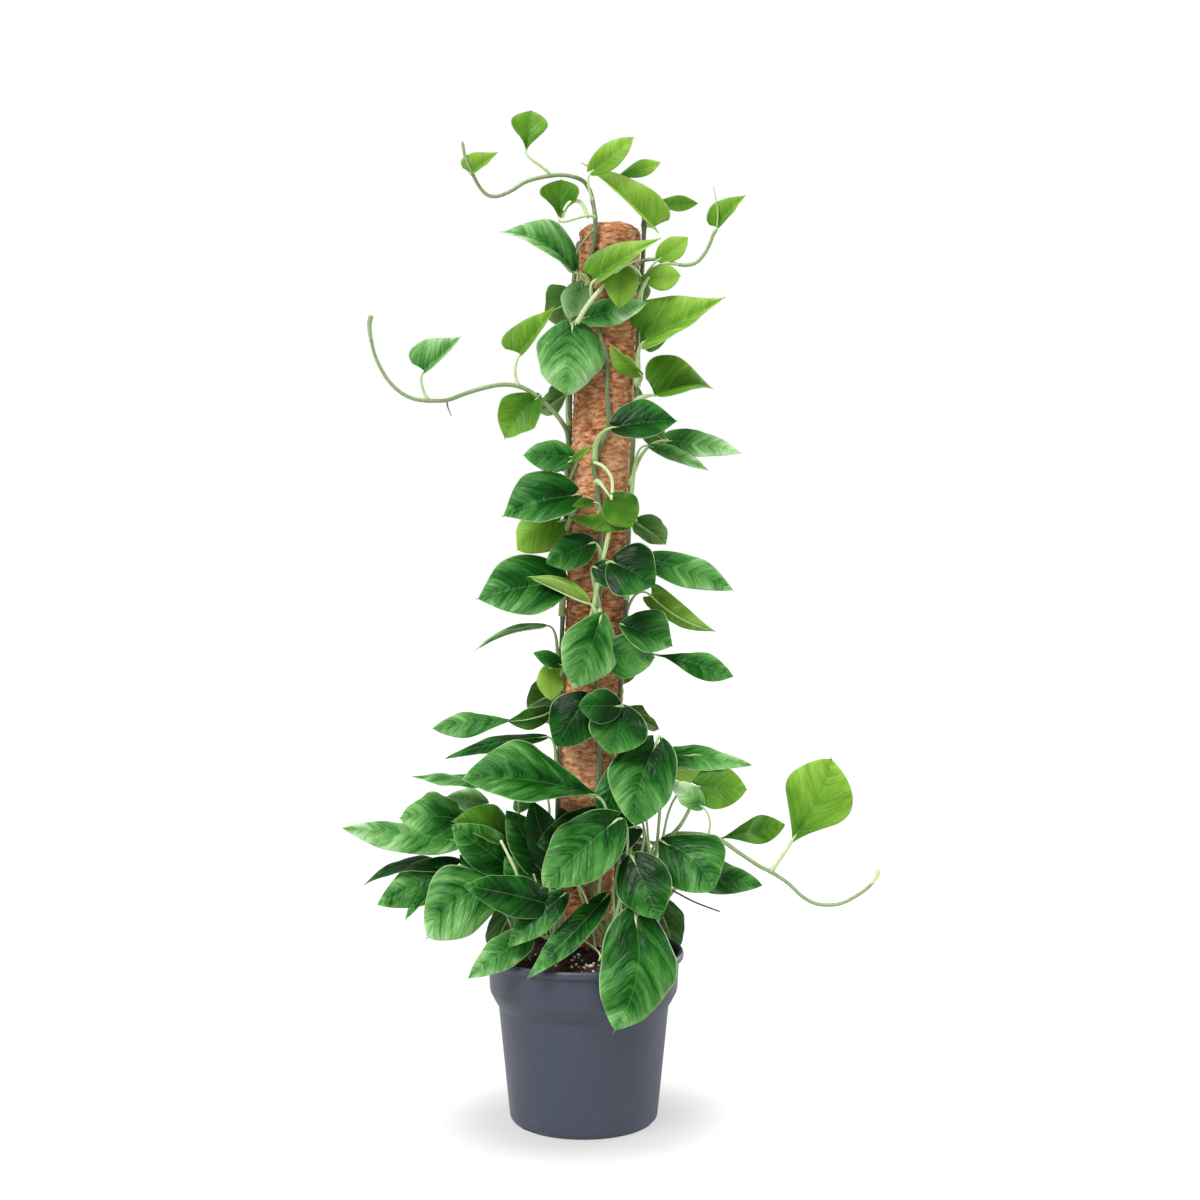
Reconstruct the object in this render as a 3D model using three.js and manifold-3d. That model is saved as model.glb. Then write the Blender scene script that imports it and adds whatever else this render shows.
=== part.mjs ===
// Potted monstera pinnatipartita: vines that climb a coir pole, with a skirt of leafy shoots, in a nursery pot.
// Millimetres, +Z up, underside of the pot at z = 0, front of the plant towards -Y.
import * as THREE from "three";
import { mergeVertices } from "three/addons/utils/BufferGeometryUtils.js";
import Module from "manifold-3d";

const wasm = await Module();
wasm.setup();

const GAP = 0.4; // between pieces that touch
const SLIVER = 0.15; // the finest facet kept where leaves join their stem

const POT = {
  sides: 28,
  // radius and height up the outside, from the underside to the top of the rolled lip
  outside: [[84, 0], [88.5, 5], [102, 140], [105, 144], [112.3, 158], [114, 194], [119.4, 196], [120, 201],
    [118.6, 205]],
  height: 205,
  lip: 196,
  wall: 2.6,
  floor: 3,
  slot: { angles: [-47, 73, 193], width: 24, height: 4.5 },
};
const SOIL = {
  edge: 200,
  middle: 213,
  mound: [[98, 0.2], [76, 0.6], [52, 0.95]], // radius and share of the rise from edge to middle
  bumps: 2.5,
  room: 1.4, // round the pole
};
const POLE = { radius: 36, top: 1068, dome: 14, lean: 0.0367, roughness: 0.5, sides: 18, rings: 9 };
const CORE = { radius: 12, top: 1046 };
const STEM = { radius: 3.6, sides: 5, foot: 150, crown: 242, fromPole: 4.6, room: 1.2, step: 42 };
const STALK = { thin: 1.1, perWidth: 0.009, taper: 0.6, longFrom: 90, below: 0.08 };
const LEAF = {
  thickness: 0.8,
  lobe: 0.06,
  // where the blade is described, along and across, for leaves from each width up
  grids: [
    { from: 79, stations: [0.05, 0.2, 0.42, 0.66, 0.87], columns: [-1, -0.5, 0, 0.5, 1] },
    { from: 36, stations: [0.06, 0.25, 0.52, 0.8], columns: [-1, 0, 1] },
    { from: 0, stations: [0.1, 0.42, 0.78], columns: [-1, 0, 1] },
  ],
};

const BEHIND = { angle: 136, rise: 58, top: 1010 };
const FAN = { leaves: 5, layers: 3, spread: 11 };

// Places are read as seen from this eye, on the plane through the pole (y = 0), and then moved along the line of
// sight by a depth: below zero is nearer the eye.
const EYE = new THREE.Vector3(19.5, -2300, 740);

// climb: height and angle round the pole, 0 at the front and 90 on the right.
// free: x, z and depth. stand: x and y where a shoot leaves the soil.
// leaves: the joint on the stem (which point of stand, climb and free), the blade's base and tip (x, z and depth
// each), width, turn, fold, cup, arch, sweep, and where along the blade it is widest if not at 0.42.
// turn 0 shows the upper face, fold lifts both halves, cup bends them, arch and sweep bow the midrib.
const STEMS = {
  front_vine: {
    climb: [[150, 16], [260, 12], [350, 10], [440, 14], [505, 6], [575, 2], [650, 6], [690, 4], [735, -2], [787, -12],
      [825, 8], [905, 2], [955, -20], [1000, -38], [1040, -26]],
    free: [[14, 1072, -38], [11, 1092, -30], [8, 1104, -24], [0, 1116, -22], [-16, 1122, -24], [-30, 1123, -26],
      [-46, 1121, -28], [-68, 1115, -30], [-86, 1104, -32], [-103, 1098, -34], [-113, 1100, -35], [-121, 1108, -36],
      [-130, 1124, -37], [-138, 1142, -38], [-142, 1162, -38]],
    leaves: [
      [20.5, -66, 1149, -26, -47, 1193, 0, 60, -70, 60, -10, 0, 0, 0.52],
      [27, -129, 1127, -38, -100, 1150, -30, 44, -72, 60, -10, -0.05, 0, 0.52],
      [15, -30, 1071, -44, -2, 1114, -20, 78, -68, 50, 10, -0.05, 0],
      [13.3, -13, 1010, -46, -97, 1057, -70, 70, 55, 45, -30, 0.14, 0],
      [16, 12, 1126, -38, 62, 1166, -34, 27, -10, 10, -10, 0.03, 0],
      [12.6, 12, 1002, -56, 92, 1050, -50, 46, -60, 45, -20, 0.03, 0],
      [9.5, 37, 828, -62, 112, 835, -60, 62, -40, 35, -30, 0.04, 0],
      [9, 33, 745, -66, 64, 720, -64, 40, 0, 5, -10, 0.05, -0.05],
      [8.3, 54, 713, -60, -18, 722, -60, 21, 20, 5, -10, -0.08, 0],
      [8, 12, 739, -64, -14, 734, -78, 13, 30, 10, 0, 0.1, 0],
      [7, 8, 691, -54, -46, 666, -66, 42, 5, 10, -25, 0.06, 0],
      [6.4, 36, 668, -58, 86, 640, -68, 76, -24, 25, -30, 0.06, 0],
      [6, 15, 662, -54, 54, 642, -58, 32, -10, 8, -10, 0.04, 0],
      [5.6, 4, 621, -56, -67, 652, -58, 34, 75, 60, -10, 0, 0],
      [4.6, 20, 598, -54, -14, 514, -76, 52, -10, 12, -25, 0.06, 0, 0.5],
      [4, 3, 505, -56, -34, 447, -64, 62, 10, 6, -20, 0.08, 0],
    ],
  },
  right_vine: {
    climb: [[150, 72], [260, 62], [350, 58], [440, 55], [515, 52], [550, 55], [600, 58], [650, 60], [700, 60],
      [750, 60], [790, 62], [856, 68], [895, 66], [952, 66], [985, 62], [1005, 58]],
    free: [[66, 1021, -20], [84, 1025, -22], [102, 1021, -24], [118, 1018, -25], [131, 1020, -26], [140, 1028, -27],
      [148, 1041, -28], [153, 1054, -29], [157, 1060, -30]],
    leaves: [
      [23.9, 157, 1060, -30, 191, 1100, -20, 48, -70, 58, -10, 0.03, 0],
      [14, 92, 1018, -30, 122, 1048, -20, 34, -10, 10, -10, 0.02, 0],
      [15, 45, 1015, -52, 42, 966, -60, 40, -10, 10, -15, 0.1, 0],
      [15, 66, 1001, -38, 118, 1008, -36, 30, -10, 5, -10, 0.03, 0],
      [12, 73, 928, -30, 170, 981, -44, 76, -64, 58, -20, -0.04, 0, 0.3],
      [11.5, 86, 864, -22, 155, 871, 14, 82, -68, 58, -20, 0.12, 0, 0.3],
      [12, 66, 892, -40, 31, 926, -52, 34, -50, 15, 10, 0.05, 0],
      [9.7, 100, 812, -10, 188, 797, -14, 34, -20, 0, -10, 0, -0.04, 0.3],
      [9, 80, 805, -26, 148, 777, -30, 22, -40, 10, -10, -0.02, -0.06],
      [7, 76, 671, -28, 179, 634, -30, 44, -20, 5, -30, 0.05, -0.04],
      [6, 47, 594, -46, 107, 568, -50, 66, -34, 30, -20, 0.04, 0, 0.5],
      [5, 28, 558, -60, 87, 555, -62, 52, -5, 5, -15, 0.03, 0],
      [5, 88, 558, -30, 179, 532, -34, 34, -15, 5, -20, 0.04, -0.02, 0.62],
      [4, 42, 494, -70, 31, 437, -75, 70, 5, 8, -10, 0.06, -0.08],
      [4, 40, 497, -76, -8, 497, -84, 42, 10, 5, -20, 0.06, 0],
    ],
  },
  left_vine: {
    climb: [[150, -76], [260, -70], [350, -66], [440, -68], [500, -72], [545, -76], [600, -76], [655, -78],
      [700, -80], [770, -80], [811, -82]],
    free: [[-20, 824, -8], [-30, 840, -12], [-44, 855, -15], [-60, 868, -18], [-76, 876, -20], [-96, 878, -23],
      [-118, 874, -26], [-141, 867, -28], [-160, 860, -30], [-179, 859, -32], [-199, 861, -33], [-213, 867, -34],
      [-227, 879, -35], [-238, 895, -36], [-247, 916, -37], [-251, 938, -38], [-252, 958, -38]],
    leaves: [
      [20.2, -187, 892, -34, -142, 935, -30, 70, -70, 58, -10, -0.03, 0],
      [15, -75, 913, -22, -31, 971, -10, 76, -70, 58, -10, -0.03, 0, 0.4],
      [13.5, -60, 866, -18, -97, 811, -34, 56, 25, 10, 30, 0.12, 0.05],
      [9, -14, 793, -30, -73, 795, -40, 40, 15, 12, -30, 0.06, 0],
      [9.5, -14, 789, -38, 10, 806, -48, 9, 0, 10, 0, 0.1, 0],
      [8, -10, 748, -48, -97, 722, -64, 84, 40, 34, -30, 0.07, 0],
      [7.4, -28, 717, -14, -80, 681, -20, 56, 15, 5, -20, 0.08, 0.05],
      [6.6, -27, 645, -32, -128, 624, -50, 84, 28, 26, -25, 0.06, 0],
      [5, -48, 592, -20, -131, 562, -26, 26, 82, 15, 10, 0.08, 0],
      [5, -28, 547, -28, -61, 561, -40, 20, 20, 8, 0, 0.04, 0],
      [4.6, -40, 543, -16, -38, 502, -20, 34, -10, 5, -10, 0.06, 0],
      [4, -42, 490, -20, -92, 479, -40, 30, 150, 8, -20, -0.1, 0],
      [4, -84, 480, -10, -181, 470, -20, 34, 25, 0, -15, 0.04, 0, 0.6],
      [3, -48, 460, -30, -166, 434, -60, 32, 55, 0, -10, 0.05, 0],
    ],
  },
  back_left_vine: {
    climb: [[150, -128], [300, -135], [450, -140], [600, -135], [720, -120], [830, -105], [900, -92], [950, -84],
      [1000, -96], [1048, -115]],
    leaves: [
      [7, -13, 945, -44, -20, 862, -58, 82, 0, 8, -30, 0.08, 0],
      [7, 3, 957, -50, 76, 974, -52, 34, 5, 5, 20, -0.06, 0],
      [8, -2, 994, -30, -20, 955, -20, 34, 10, 5, -10, 0.06, 0],
    ],
    behind: { from: 432, seed: 100 },
  },
  back_right_vine: {
    climb: [[150, 135], [300, 140], [450, 138], [600, 130], [720, 128], [850, 125], [950, 118], [1020, 100],
      [1050, 80], [1077, 78]],
    leaves: [
      [9, 85, 1060, -10, 8, 1134, -26, 60, 66, 52, -10, 0.06, 0, 0.3],
      [9, 37, 1120, -6, 91, 1138, 0, 26, -20, 5, -10, 0.03, 0],
      [9, 78, 1090, -4, 135, 1090, 4, 18, -10, 5, 0, 0, 0],
      [3, 78, 628, -10, 158, 586, -6, 50, -150, 10, 10, -0.08, 0, 0.25],
    ],
    behind: { from: 458, seed: 200 },
  },
  front_shoot: {
    stand: [26, -66],
    leaves: [
      [1, 26, 268, -70, -69, 168, -128, 36, 25, 10, -10, 0.03, -0.03],
      [1, 62, 240, -98, 34, 101, -134, 90, -5, 6, -22, 0.1, -0.1],
      [1, 36, 358, -80, -52, 277, -128, 66, 10, 8, -20, 0.04, 0],
      [1, 60, 312, -84, 91, 239, -118, 62, 5, 8, -20, 0.05, 0],
      [1, 58, 352, -58, -60, 330, -70, 70, 12, 6, -15, 0.04, 0],
      [1, 8, 391, -66, -149, 409, -96, 100, 44, 33, -25, 0.08, 0],
    ],
  },
  front_left_shoot: {
    stand: [-32, -60],
    leaves: [
      [1, -25, 270, -84, -92, 206, -112, 40, 20, 8, -15, 0.04, 0],
      [1, -38, 258, -84, -146, 282, -140, 50, 15, 8, -25, 0.06, 0],
      [1, -70, 218, -80, -124, 182, -104, 42, 20, 10, -10, 0.04, 0],
    ],
  },
  left_shoot: {
    stand: [-74, -14],
    leaves: [
      [1, -86, 278, -60, -190, 213, -96, 84, 8, 6, -20, 0.06, 0.18, 0.55],
      [1, -88, 303, -50, -160, 356, -70, 52, 5, 8, -20, 0.05, 0],
      [1, -90, 336, -30, -159, 359, -44, 64, 45, 35, -20, 0.1, 0],
      [1, -152, 304, -30, -249, 257, -50, 52, 10, 5, -15, 0.05, 0],
      [1, -150, 296, -20, -264, 281, -30, 36, 60, 12, -20, 0.19, 0],
      [1, -164, 298, -40, -214, 240, -60, 28, 50, 12, 0, 0.04, 0],
      [1, -150, 336, -30, -290, 351, -60, 50, 40, -6, -10, 0, 0],
      [1, -148, 362, -10, -222, 362, -20, 66, 25, 15, -30, 0.1, 0],
      [1, -100, 408, -20, -206, 413, -24, 38, 65, 0, -10, 0, 0],
      [1, -118, 380, 10, -164, 389, 6, 36, 35, 8, -20, 0.06, 0],
    ],
  },
  right_shoot: {
    stand: [70, -22],
    free: [[96, 338, -24], [130, 344, -30], [160, 338, -34], [186, 321, -38], [210, 305, -42], [224, 298, -44],
      [245, 284, -46], [262, 268, -48], [277, 260, -50], [292, 258, -52], [308, 260, -53], [326, 269, -54],
      [340, 279, -55], [348, 288, -56]],
    leaves: [
      [7, 252, 342, -46, 296, 438, -52, 82, 0, 8, -10, 0.04, 0.06, 0.58],
      [1, 97, 332, -60, 156, 272, -104, 72, -12, 8, -25, 0.06, -0.12],
      [1, 118, 298, -30, 216, 281, -40, 50, -35, 5, -20, 0.06, 0],
      [1, 165, 339, -24, 242, 355, -30, 34, -10, 5, -10, 0.03, 0, 0.62],
      [1, 136, 401, -40, 197, 397, -50, 52, -10, 5, -10, 0.04, 0],
      [1, 140, 378, -50, 103, 407, -60, 28, 10, 5, 10, 0.05, 0],
      [1, 88, 440, -20, 202, 426, -30, 40, -45, 5, -15, 0.03, 0],
      [1, 103, 424, -10, 168, 424, -20, 40, -150, 5, -10, -0.05, 0],
      [1, 86, 450, -50, 61, 349, -90, 80, 0, 8, -20, 0.05, 0.06],
    ],
  },
  back_left_shoot: { stand: [-45, 55], fan: { angle: -134, seed: 360 } },
  back_shoot: { stand: [0, 72], fan: { angle: 180, seed: 420 } },
  back_right_shoot: { stand: [46, 57], fan: { angle: 122, seed: 520 } },
};
const UP = new THREE.Vector3(0, 0, 1);
const { degToRad, lerp } = THREE.MathUtils;

// A number from 0 to 1 that depends only on n.
function draw(n) {
  const value = Math.sin(n * 12.9898) * 43758.5453;
  return value - Math.floor(value);
}

// Where the pole's axis is at height z: the pole leans to the right.
function axisX(z) {
  return POLE.lean * (z - POT.height);
}

function seen(x, z, depth) {
  const onPlane = new THREE.Vector3(x, 0, z);
  return EYE.clone().lerp(onPlane, 1 + depth / -EYE.y);
}

// A point round the pole: out from its axis at an angle, and sideways to the right as seen from there.
function around(angle, sideways, z, out) {
  const a = degToRad(angle);
  const x = axisX(z) + out * Math.sin(a) + sideways * Math.cos(a);
  return new THREE.Vector3(x, -out * Math.cos(a) + sideways * Math.sin(a), z);
}

function solidOf(geometry) {
  const bare = new THREE.BufferGeometry().setAttribute("position", geometry.getAttribute("position"));
  const merged = mergeVertices(bare.setIndex(geometry.index), 1e-3);
  const skin = new wasm.Mesh({
    numProp: 3,
    vertProperties: merged.attributes.position.array,
    triVerts: new Uint32Array(merged.index.array),
  });
  return new wasm.Manifold(skin);
}

// Turns a profile of [radius, z] pairs, which starts and ends on the axis. shape may move each point.
function turned(profile, sides, shape) {
  const outline = profile.map(([r, z]) => new THREE.Vector2(r, z));
  const geometry = new THREE.LatheGeometry(outline, sides).rotateX(Math.PI / 2);
  const { position } = geometry.attributes;
  const point = new THREE.Vector3();
  for (let i = 0; shape && i < position.count; i++) {
    shape(point.fromBufferAttribute(position, i));
    position.setXYZ(i, point.x, point.y, point.z);
  }
  return solidOf(geometry);
}

// A round bar along a smooth curve through the points.
function bar(points, radius, sides) {
  const corners = Array.from({ length: sides }, (_, m) => {
    const a = (2 * Math.PI * m) / sides;
    return new THREE.Vector2(radius * Math.cos(a), radius * Math.sin(a));
  });
  const path = new THREE.CatmullRomCurve3(points);
  const steps = Math.ceil(path.getLength() / STEM.step);
  return solidOf(new THREE.ExtrudeGeometry(new THREE.Shape(corners), { steps, extrudePath: path }));
}

// A leaf's frame: along the midrib, face up from its upper side, side to the right on the way to the tip.
function leafOf(base, tip, eye, [width, turn, fold, cup, arch, sweep, peak = 0.42]) {
  const along = tip.clone().sub(base).normalize();
  const view = eye.clone().sub(base).normalize();
  const face = view.addScaledVector(along, -view.dot(along)).normalize();
  face.applyAxisAngle(along, degToRad(turn));
  return {
    base,
    tip,
    along,
    face,
    side: along.clone().cross(face),
    length: tip.distanceTo(base),
    width,
    fold: degToRad(fold),
    cup: degToRad(cup) || 1e-4,
    arch,
    sweep,
    swell: Math.log(0.5) / Math.log(peak),
    taper: Math.max(0.45, 0.55 + 3 * (peak - 0.4)),
  };
}

// The blade's upper face: t runs from base to tip, s from the left edge at -1 to the right edge at 1.
function bladePoint(leaf, t, s) {
  const power = lerp(leaf.taper, 1.1, t);
  const half = (leaf.width / 2) * Math.sin(Math.PI * t ** leaf.swell) ** power;
  const q = Math.abs(s);
  const bend = leaf.fold + leaf.cup * q;
  const across = (half / leaf.cup) * (Math.sin(bend) - Math.sin(leaf.fold));
  const lift = (half / leaf.cup) * (Math.cos(leaf.fold) - Math.cos(bend));
  const lobe = LEAF.lobe * leaf.length * q ** 1.5 * (1 - t) ** 4;
  const bow = 4 * t * (1 - t) * leaf.length;
  return leaf.base.clone()
    .addScaledVector(leaf.along, leaf.length * t - lobe)
    .addScaledVector(leaf.face, bow * leaf.arch + lift)
    .addScaledVector(leaf.side, across * Math.sign(s) + bow * leaf.sweep);
}

// The stalk leaves the stem upwards and outwards, and comes into the blade along its midrib. Each ring has four
// corners: upper left, upper right, lower right and lower left as seen on the way to the blade.
function stalkRings(start, leaf, climbing) {
  const reach = start.distanceTo(leaf.base);
  const out = climbing ? new THREE.Vector3(start.x - axisX(start.z), start.y, 0) : leaf.base.clone().sub(start);
  out.setZ(0).normalize();
  const rise = start.clone().addScaledVector(UP, 0.3 * reach).addScaledVector(out, 0.2 * reach);
  const arrive = leaf.base.clone().addScaledVector(leaf.along, -0.3 * reach);
  const curve = new THREE.CubicBezierCurve3(start, rise, arrive, leaf.base);
  const parts = reach > STALK.longFrom ? 4 : 3;
  const foot = STALK.thin + leaf.width * STALK.perWidth;
  const rings = [];
  let side = leaf.side;
  for (let i = parts; i >= 0; i--) {
    const middle = curve.getPoint(i / parts);
    const along = curve.getTangent(i / parts);
    side = side.clone().addScaledVector(along, -side.dot(along)).normalize();
    const face = side.clone().cross(along);
    const wide = foot * lerp(1, STALK.taper, i / parts);
    const high = i === parts ? LEAF.thickness : wide;
    const corners = [[-1, 1], [1, 1], [1, -1], [-1, -1]];
    rings.unshift(corners.map(([right, up]) => {
      return middle.clone().addScaledVector(side, right * wide).addScaledVector(face, up * high);
    }));
  }
  return rings;
}

// The blade's two faces as runs of points, stalk corners first and tip last, and the upper face's triangles.
function bladeFaces(leaf, mouth) {
  const { stations, columns } = LEAF.grids.find(({ from }) => leaf.width >= from);
  const n = columns.length;
  const rib = (n - 1) / 2;
  const [upperLeft, upperRight, lowerRight, lowerLeft] = mouth;
  const upper = [upperLeft, upperRight];
  for (const t of stations) {
    upper.push(...columns.map((s) => bladePoint(leaf, t, s)));
  }
  upper.push(leaf.tip);
  const tip = upper.length - 1;
  const faces = [[0, 1, 2 + rib]];
  for (let j = 0; j < n - 1; j++) {
    faces.push([j < rib ? 0 : 1, j + 3, j + 2], [tip, tip - n + j, tip - n + j + 1]);
    for (let a = j + 2; a < tip - n; a += n) {
      faces.push([a, a + 1, a + n], [a + 1, a + n + 1, a + n]);
    }
  }
  const sheet = new THREE.BufferGeometry().setFromPoints(upper).setIndex(faces.flat());
  sheet.computeVertexNormals();
  const lower = upper.map((point, i) => {
    const onRib = i === tip || (i - 2) % n === rib;
    const depth = onRib ? LEAF.thickness / Math.cos(leaf.fold) : LEAF.thickness;
    const normal = new THREE.Vector3().fromBufferAttribute(sheet.attributes.normal, i);
    return point.clone().addScaledVector(normal, -depth);
  });
  lower.splice(0, 2, lowerLeft, lowerRight);
  return { upper, lower, faces, n };
}

// A leaf and its stalk in one skin: the stalk's last ring opens into the two faces of the blade.
function leafSolid(start, leaf, climbing) {
  const rings = stalkRings(start, leaf, climbing);
  const { upper, lower, faces, n } = bladeFaces(leaf, rings.pop());
  const tip = upper.length - 1;
  const under = upper.length;
  const skin = faces.concat(faces.map(([a, b, c]) => [a + under, c + under, b + under]));

  const rim = [1];
  for (let a = n + 1; a < tip; a += n) rim.push(a);
  rim.push(tip);
  for (let a = tip - n; a >= 2; a -= n) rim.push(a);
  rim.push(0);
  rim.slice(1).forEach((v, i) => {
    const u = rim[i];
    skin.push([v, u, u + under], [v, u + under, v + under]);
  });

  const corners = rings.map((_, k) => [0, 1, 2, 3].map((m) => 2 * under + 4 * k + m));
  corners.push([0, 1, under + 1, under]);
  const [foot] = corners;
  skin.push([foot[0], foot[2], foot[1]], [foot[0], foot[3], foot[2]]);
  rings.forEach((_, k) => {
    for (let m = 0; m < 4; m++) {
      const next = (m + 1) % 4;
      skin.push([corners[k][m], corners[k][next], corners[k + 1][m]]);
      skin.push([corners[k][next], corners[k + 1][next], corners[k + 1][m]]);
    }
  });
  const geometry = new THREE.BufferGeometry().setFromPoints([...upper, ...lower, ...rings.flat()]);
  return solidOf(geometry.setIndex(skin.flat()));
}

// The points that a stem's joints count: its stand in the soil, its climb up the pole and its free stretch.
function pathOf({ stand, climb = [], free = [] }) {
  const path = climb.map(([z, angle]) => around(angle, 0, z, POLE.radius + STEM.fromPole));
  if (stand) {
    path.push(new THREE.Vector3(...stand, STEM.foot), new THREE.Vector3(...stand, STEM.crown));
  }
  return path.concat(free.map((point) => seen(...point)));
}

// The same path with enough points on its climb to stay clear of the pole.
function runOf(stem) {
  const path = pathOf(stem);
  const { climb } = stem;
  if (!climb) return path;
  const run = [];
  for (let i = 0; i < climb.length - 1; i++) {
    const [low, from] = climb[i];
    const [high, to] = climb[i + 1];
    const parts = Math.ceil((high - low) / STEM.step);
    for (let k = 0; k < parts; k++) {
      const angle = lerp(from, to, k / parts);
      run.push(around(angle, 0, lerp(low, high, k / parts), POLE.radius + STEM.fromPole));
    }
  }
  return run.concat(path.slice(climb.length - 1));
}

function pointOn(path, joint) {
  const i = Math.min(Math.floor(joint), path.length - 2);
  return path[i].clone().lerp(path[i + 1], joint - i);
}

// Leaves behind the pole alternate to the left and right of their vine, with the short ones on the inner side.
function leavesBehind(path, { from, seed }) {
  const leaves = [];
  for (let z = from, k = 0; z < BEHIND.top; z += BEHIND.rise, k++) {
    const r = (i) => draw(seed + 10 * k + i);
    const joint = path.findIndex((point) => point.z > z) - 0.5;
    const way = k % 2 ? 1 : -1;
    const angle = pointOn(path, joint).x > axisX(z) ? BEHIND.angle : -BEHIND.angle;
    const reach = way * angle < 0 ? 60 + 22 * r(4) : 40 + 16 * r(4);
    const base = around(angle, way * (6 + 12 * r(1)), z + 20 + 12 * r(2), 54 + 8 * r(3));
    const tip = around(angle, way * reach, z - 14 + 34 * r(5), 66 + 18 * r(6));
    const shape = [46 + 18 * r(7), -way * (15 + 25 * r(8)), 8 + 14 * r(9), -20, 0.06, 0];
    leaves.push([joint, leafOf(base, tip, around(angle, 0, EYE.z, -EYE.y), shape)]);
  }
  return leaves;
}

// Leaves of a shoot at the back fan out in three layers.
function leavesFanned({ angle, seed }) {
  const leaves = [];
  for (let k = 0; k < FAN.leaves; k++) {
    const r = (i) => draw(seed + 10 * k + i);
    const layer = k % FAN.layers;
    const at = angle + (k - (FAN.leaves - 1) / 2) * FAN.spread + 6 * r(1) - 3;
    const base = around(at, 0, 262 + 62 * layer + 14 * r(2), 84 + 8 * r(3));
    const tip = around(at + 8 * r(4) - 4, 0, 160 + 95 * layer + 50 * r(5), 158 - 12 * layer + 24 * r(6));
    const shape = [56 + 18 * r(7), 20 * r(8) - 10, 8 + 8 * r(9), -20, 0.1, 0];
    leaves.push([1, leafOf(base, tip, around(at, 0, EYE.z, -EYE.y), shape)]);
  }
  return leaves;
}

function leavesOf(stem, path) {
  if (stem.fan) return leavesFanned(stem.fan);
  const leaves = stem.leaves.map(([joint, ...row]) => {
    const [base, tip] = [seen(...row.slice(0, 3)), seen(...row.slice(3, 6))];
    return [joint, leafOf(base, tip, EYE, row.slice(6))];
  });
  return stem.behind ? leaves.concat(leavesBehind(path, stem.behind)) : leaves;
}

// One vine or shoot. The stalks that rise from a shoot's crown start one under the other.
function stemSolid(stem) {
  const path = pathOf(stem);
  const leaves = leavesOf(stem, path).map(([joint, leaf], k) => {
    const start = pointOn(path, stem.stand && joint === 1 ? 1 - STALK.below * (k % 5) : joint);
    return leafSolid(start, leaf, !stem.stand);
  });
  return wasm.Manifold.union([bar(runOf(stem), STEM.radius, STEM.sides), ...leaves]).simplify(SLIVER);
}

// The hole that a stem stands in, from just under its foot to clear of the soil.
function stemHole(stem) {
  const run = runOf(stem);
  const sunk = run.slice(0, 2 + run.findIndex((point) => point.z > SOIL.middle + SOIL.bumps));
  sunk[0].z -= GAP;
  return bar(sunk, STEM.radius + STEM.room, 6);
}

// The inside of the pot from the floor up, one wall in from the outside.
function potInside() {
  const wall = POT.outside.filter(([, z]) => z > POT.floor && z < POT.lip);
  return wall.map(([r, z]) => [r - POT.wall, z]);
}

function potSolid() {
  const wall = potInside();
  const [[floorRadius]] = wall;
  const inner = [...wall.toReversed(), [floorRadius - 1, POT.floor], [0, POT.floor]];
  const mouth = [[POT.outside.at(-1)[0] - 3, POT.height], [wall.at(-1)[0] + 1.5, POT.height - 1.5]];
  const slots = POT.slot.angles.map((angle) => {
    const { width, height } = POT.slot;
    const box = new THREE.BoxGeometry(width, 20, 2 * height);
    return solidOf(box.translate(0, -92, 0).rotateZ(degToRad(angle)));
  });
  const shell = turned([[0, 0], ...POT.outside, ...mouth, ...inner], POT.sides);
  return wasm.Manifold.difference([shell, ...slots]);
}

// The coir, the core and the hole for them all lean with the pole.
function leaning(point) {
  point.x += axisX(point.z);
}

function soilSolid() {
  const foot = POT.floor + GAP;
  const wall = potInside().map(([r, z]) => [r - GAP, z]);
  const mound = SOIL.mound.map(([r, share]) => [r, lerp(SOIL.edge, SOIL.middle, share)]);
  const profile = [[0, foot], [wall[0][0] - 1, foot], ...wall, ...mound, [0, SOIL.middle]];
  const ground = turned(profile, POT.sides, (point) => {
    if (point.z < SOIL.edge) return;
    point.z += SOIL.bumps * (2 * draw(Math.round(point.x + 7 * point.y)) - 1);
  });
  const around = POLE.radius + SOIL.room;
  const hole = turned([[0, 0], [around, 0], [around, 2 * POT.height], [0, 2 * POT.height]], 28, leaning);
  return wasm.Manifold.difference([ground, hole, ...Object.values(STEMS).map(stemHole)]);
}

// The coir sleeve, with a blind bore from below for the core.
function coirSolid() {
  const bore = CORE.radius + GAP;
  const foot = POT.floor + GAP;
  const shoulder = POLE.top - POLE.dome;
  const side = Array.from({ length: POLE.rings }, (_, i) => {
    return [POLE.radius, lerp(foot, shoulder, i / (POLE.rings - 1))];
  });
  const dome = [[0.86, 0.55], [0.5, 0.9]].map(([r, z]) => [r * POLE.radius, shoulder + z * POLE.dome]);
  const inner = [[0, CORE.top + GAP], [bore, CORE.top + GAP], [bore, foot]];
  const profile = [...inner, ...side, ...dome, [0, POLE.top]];
  return turned(profile, POLE.sides, (point) => {
    const radius = Math.hypot(point.x, point.y);
    const rough = POLE.roughness * (2 * draw(Math.round(point.x + 5 * point.y + point.z)) - 1);
    if (radius > bore + 1) {
      point.x *= 1 + rough / radius;
      point.y *= 1 + rough / radius;
    }
    leaning(point);
  });
}

function coreSolid() {
  const foot = POT.floor + GAP;
  return turned([[0, foot], [CORE.radius, foot], [CORE.radius, CORE.top], [0, CORE.top]], 16, leaning);
}

function meshOf(name, solid, color, roughness) {
  const { numProp, vertProperties, triVerts } = solid.getMesh();
  const geometry = new THREE.BufferGeometry()
    .setAttribute("position", new THREE.BufferAttribute(vertProperties, numProp))
    .setIndex(new THREE.BufferAttribute(triVerts, 1));
  const mesh = new THREE.Mesh(geometry, new THREE.MeshStandardMaterial({ color, roughness }));
  mesh.name = name;
  return mesh;
}

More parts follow.
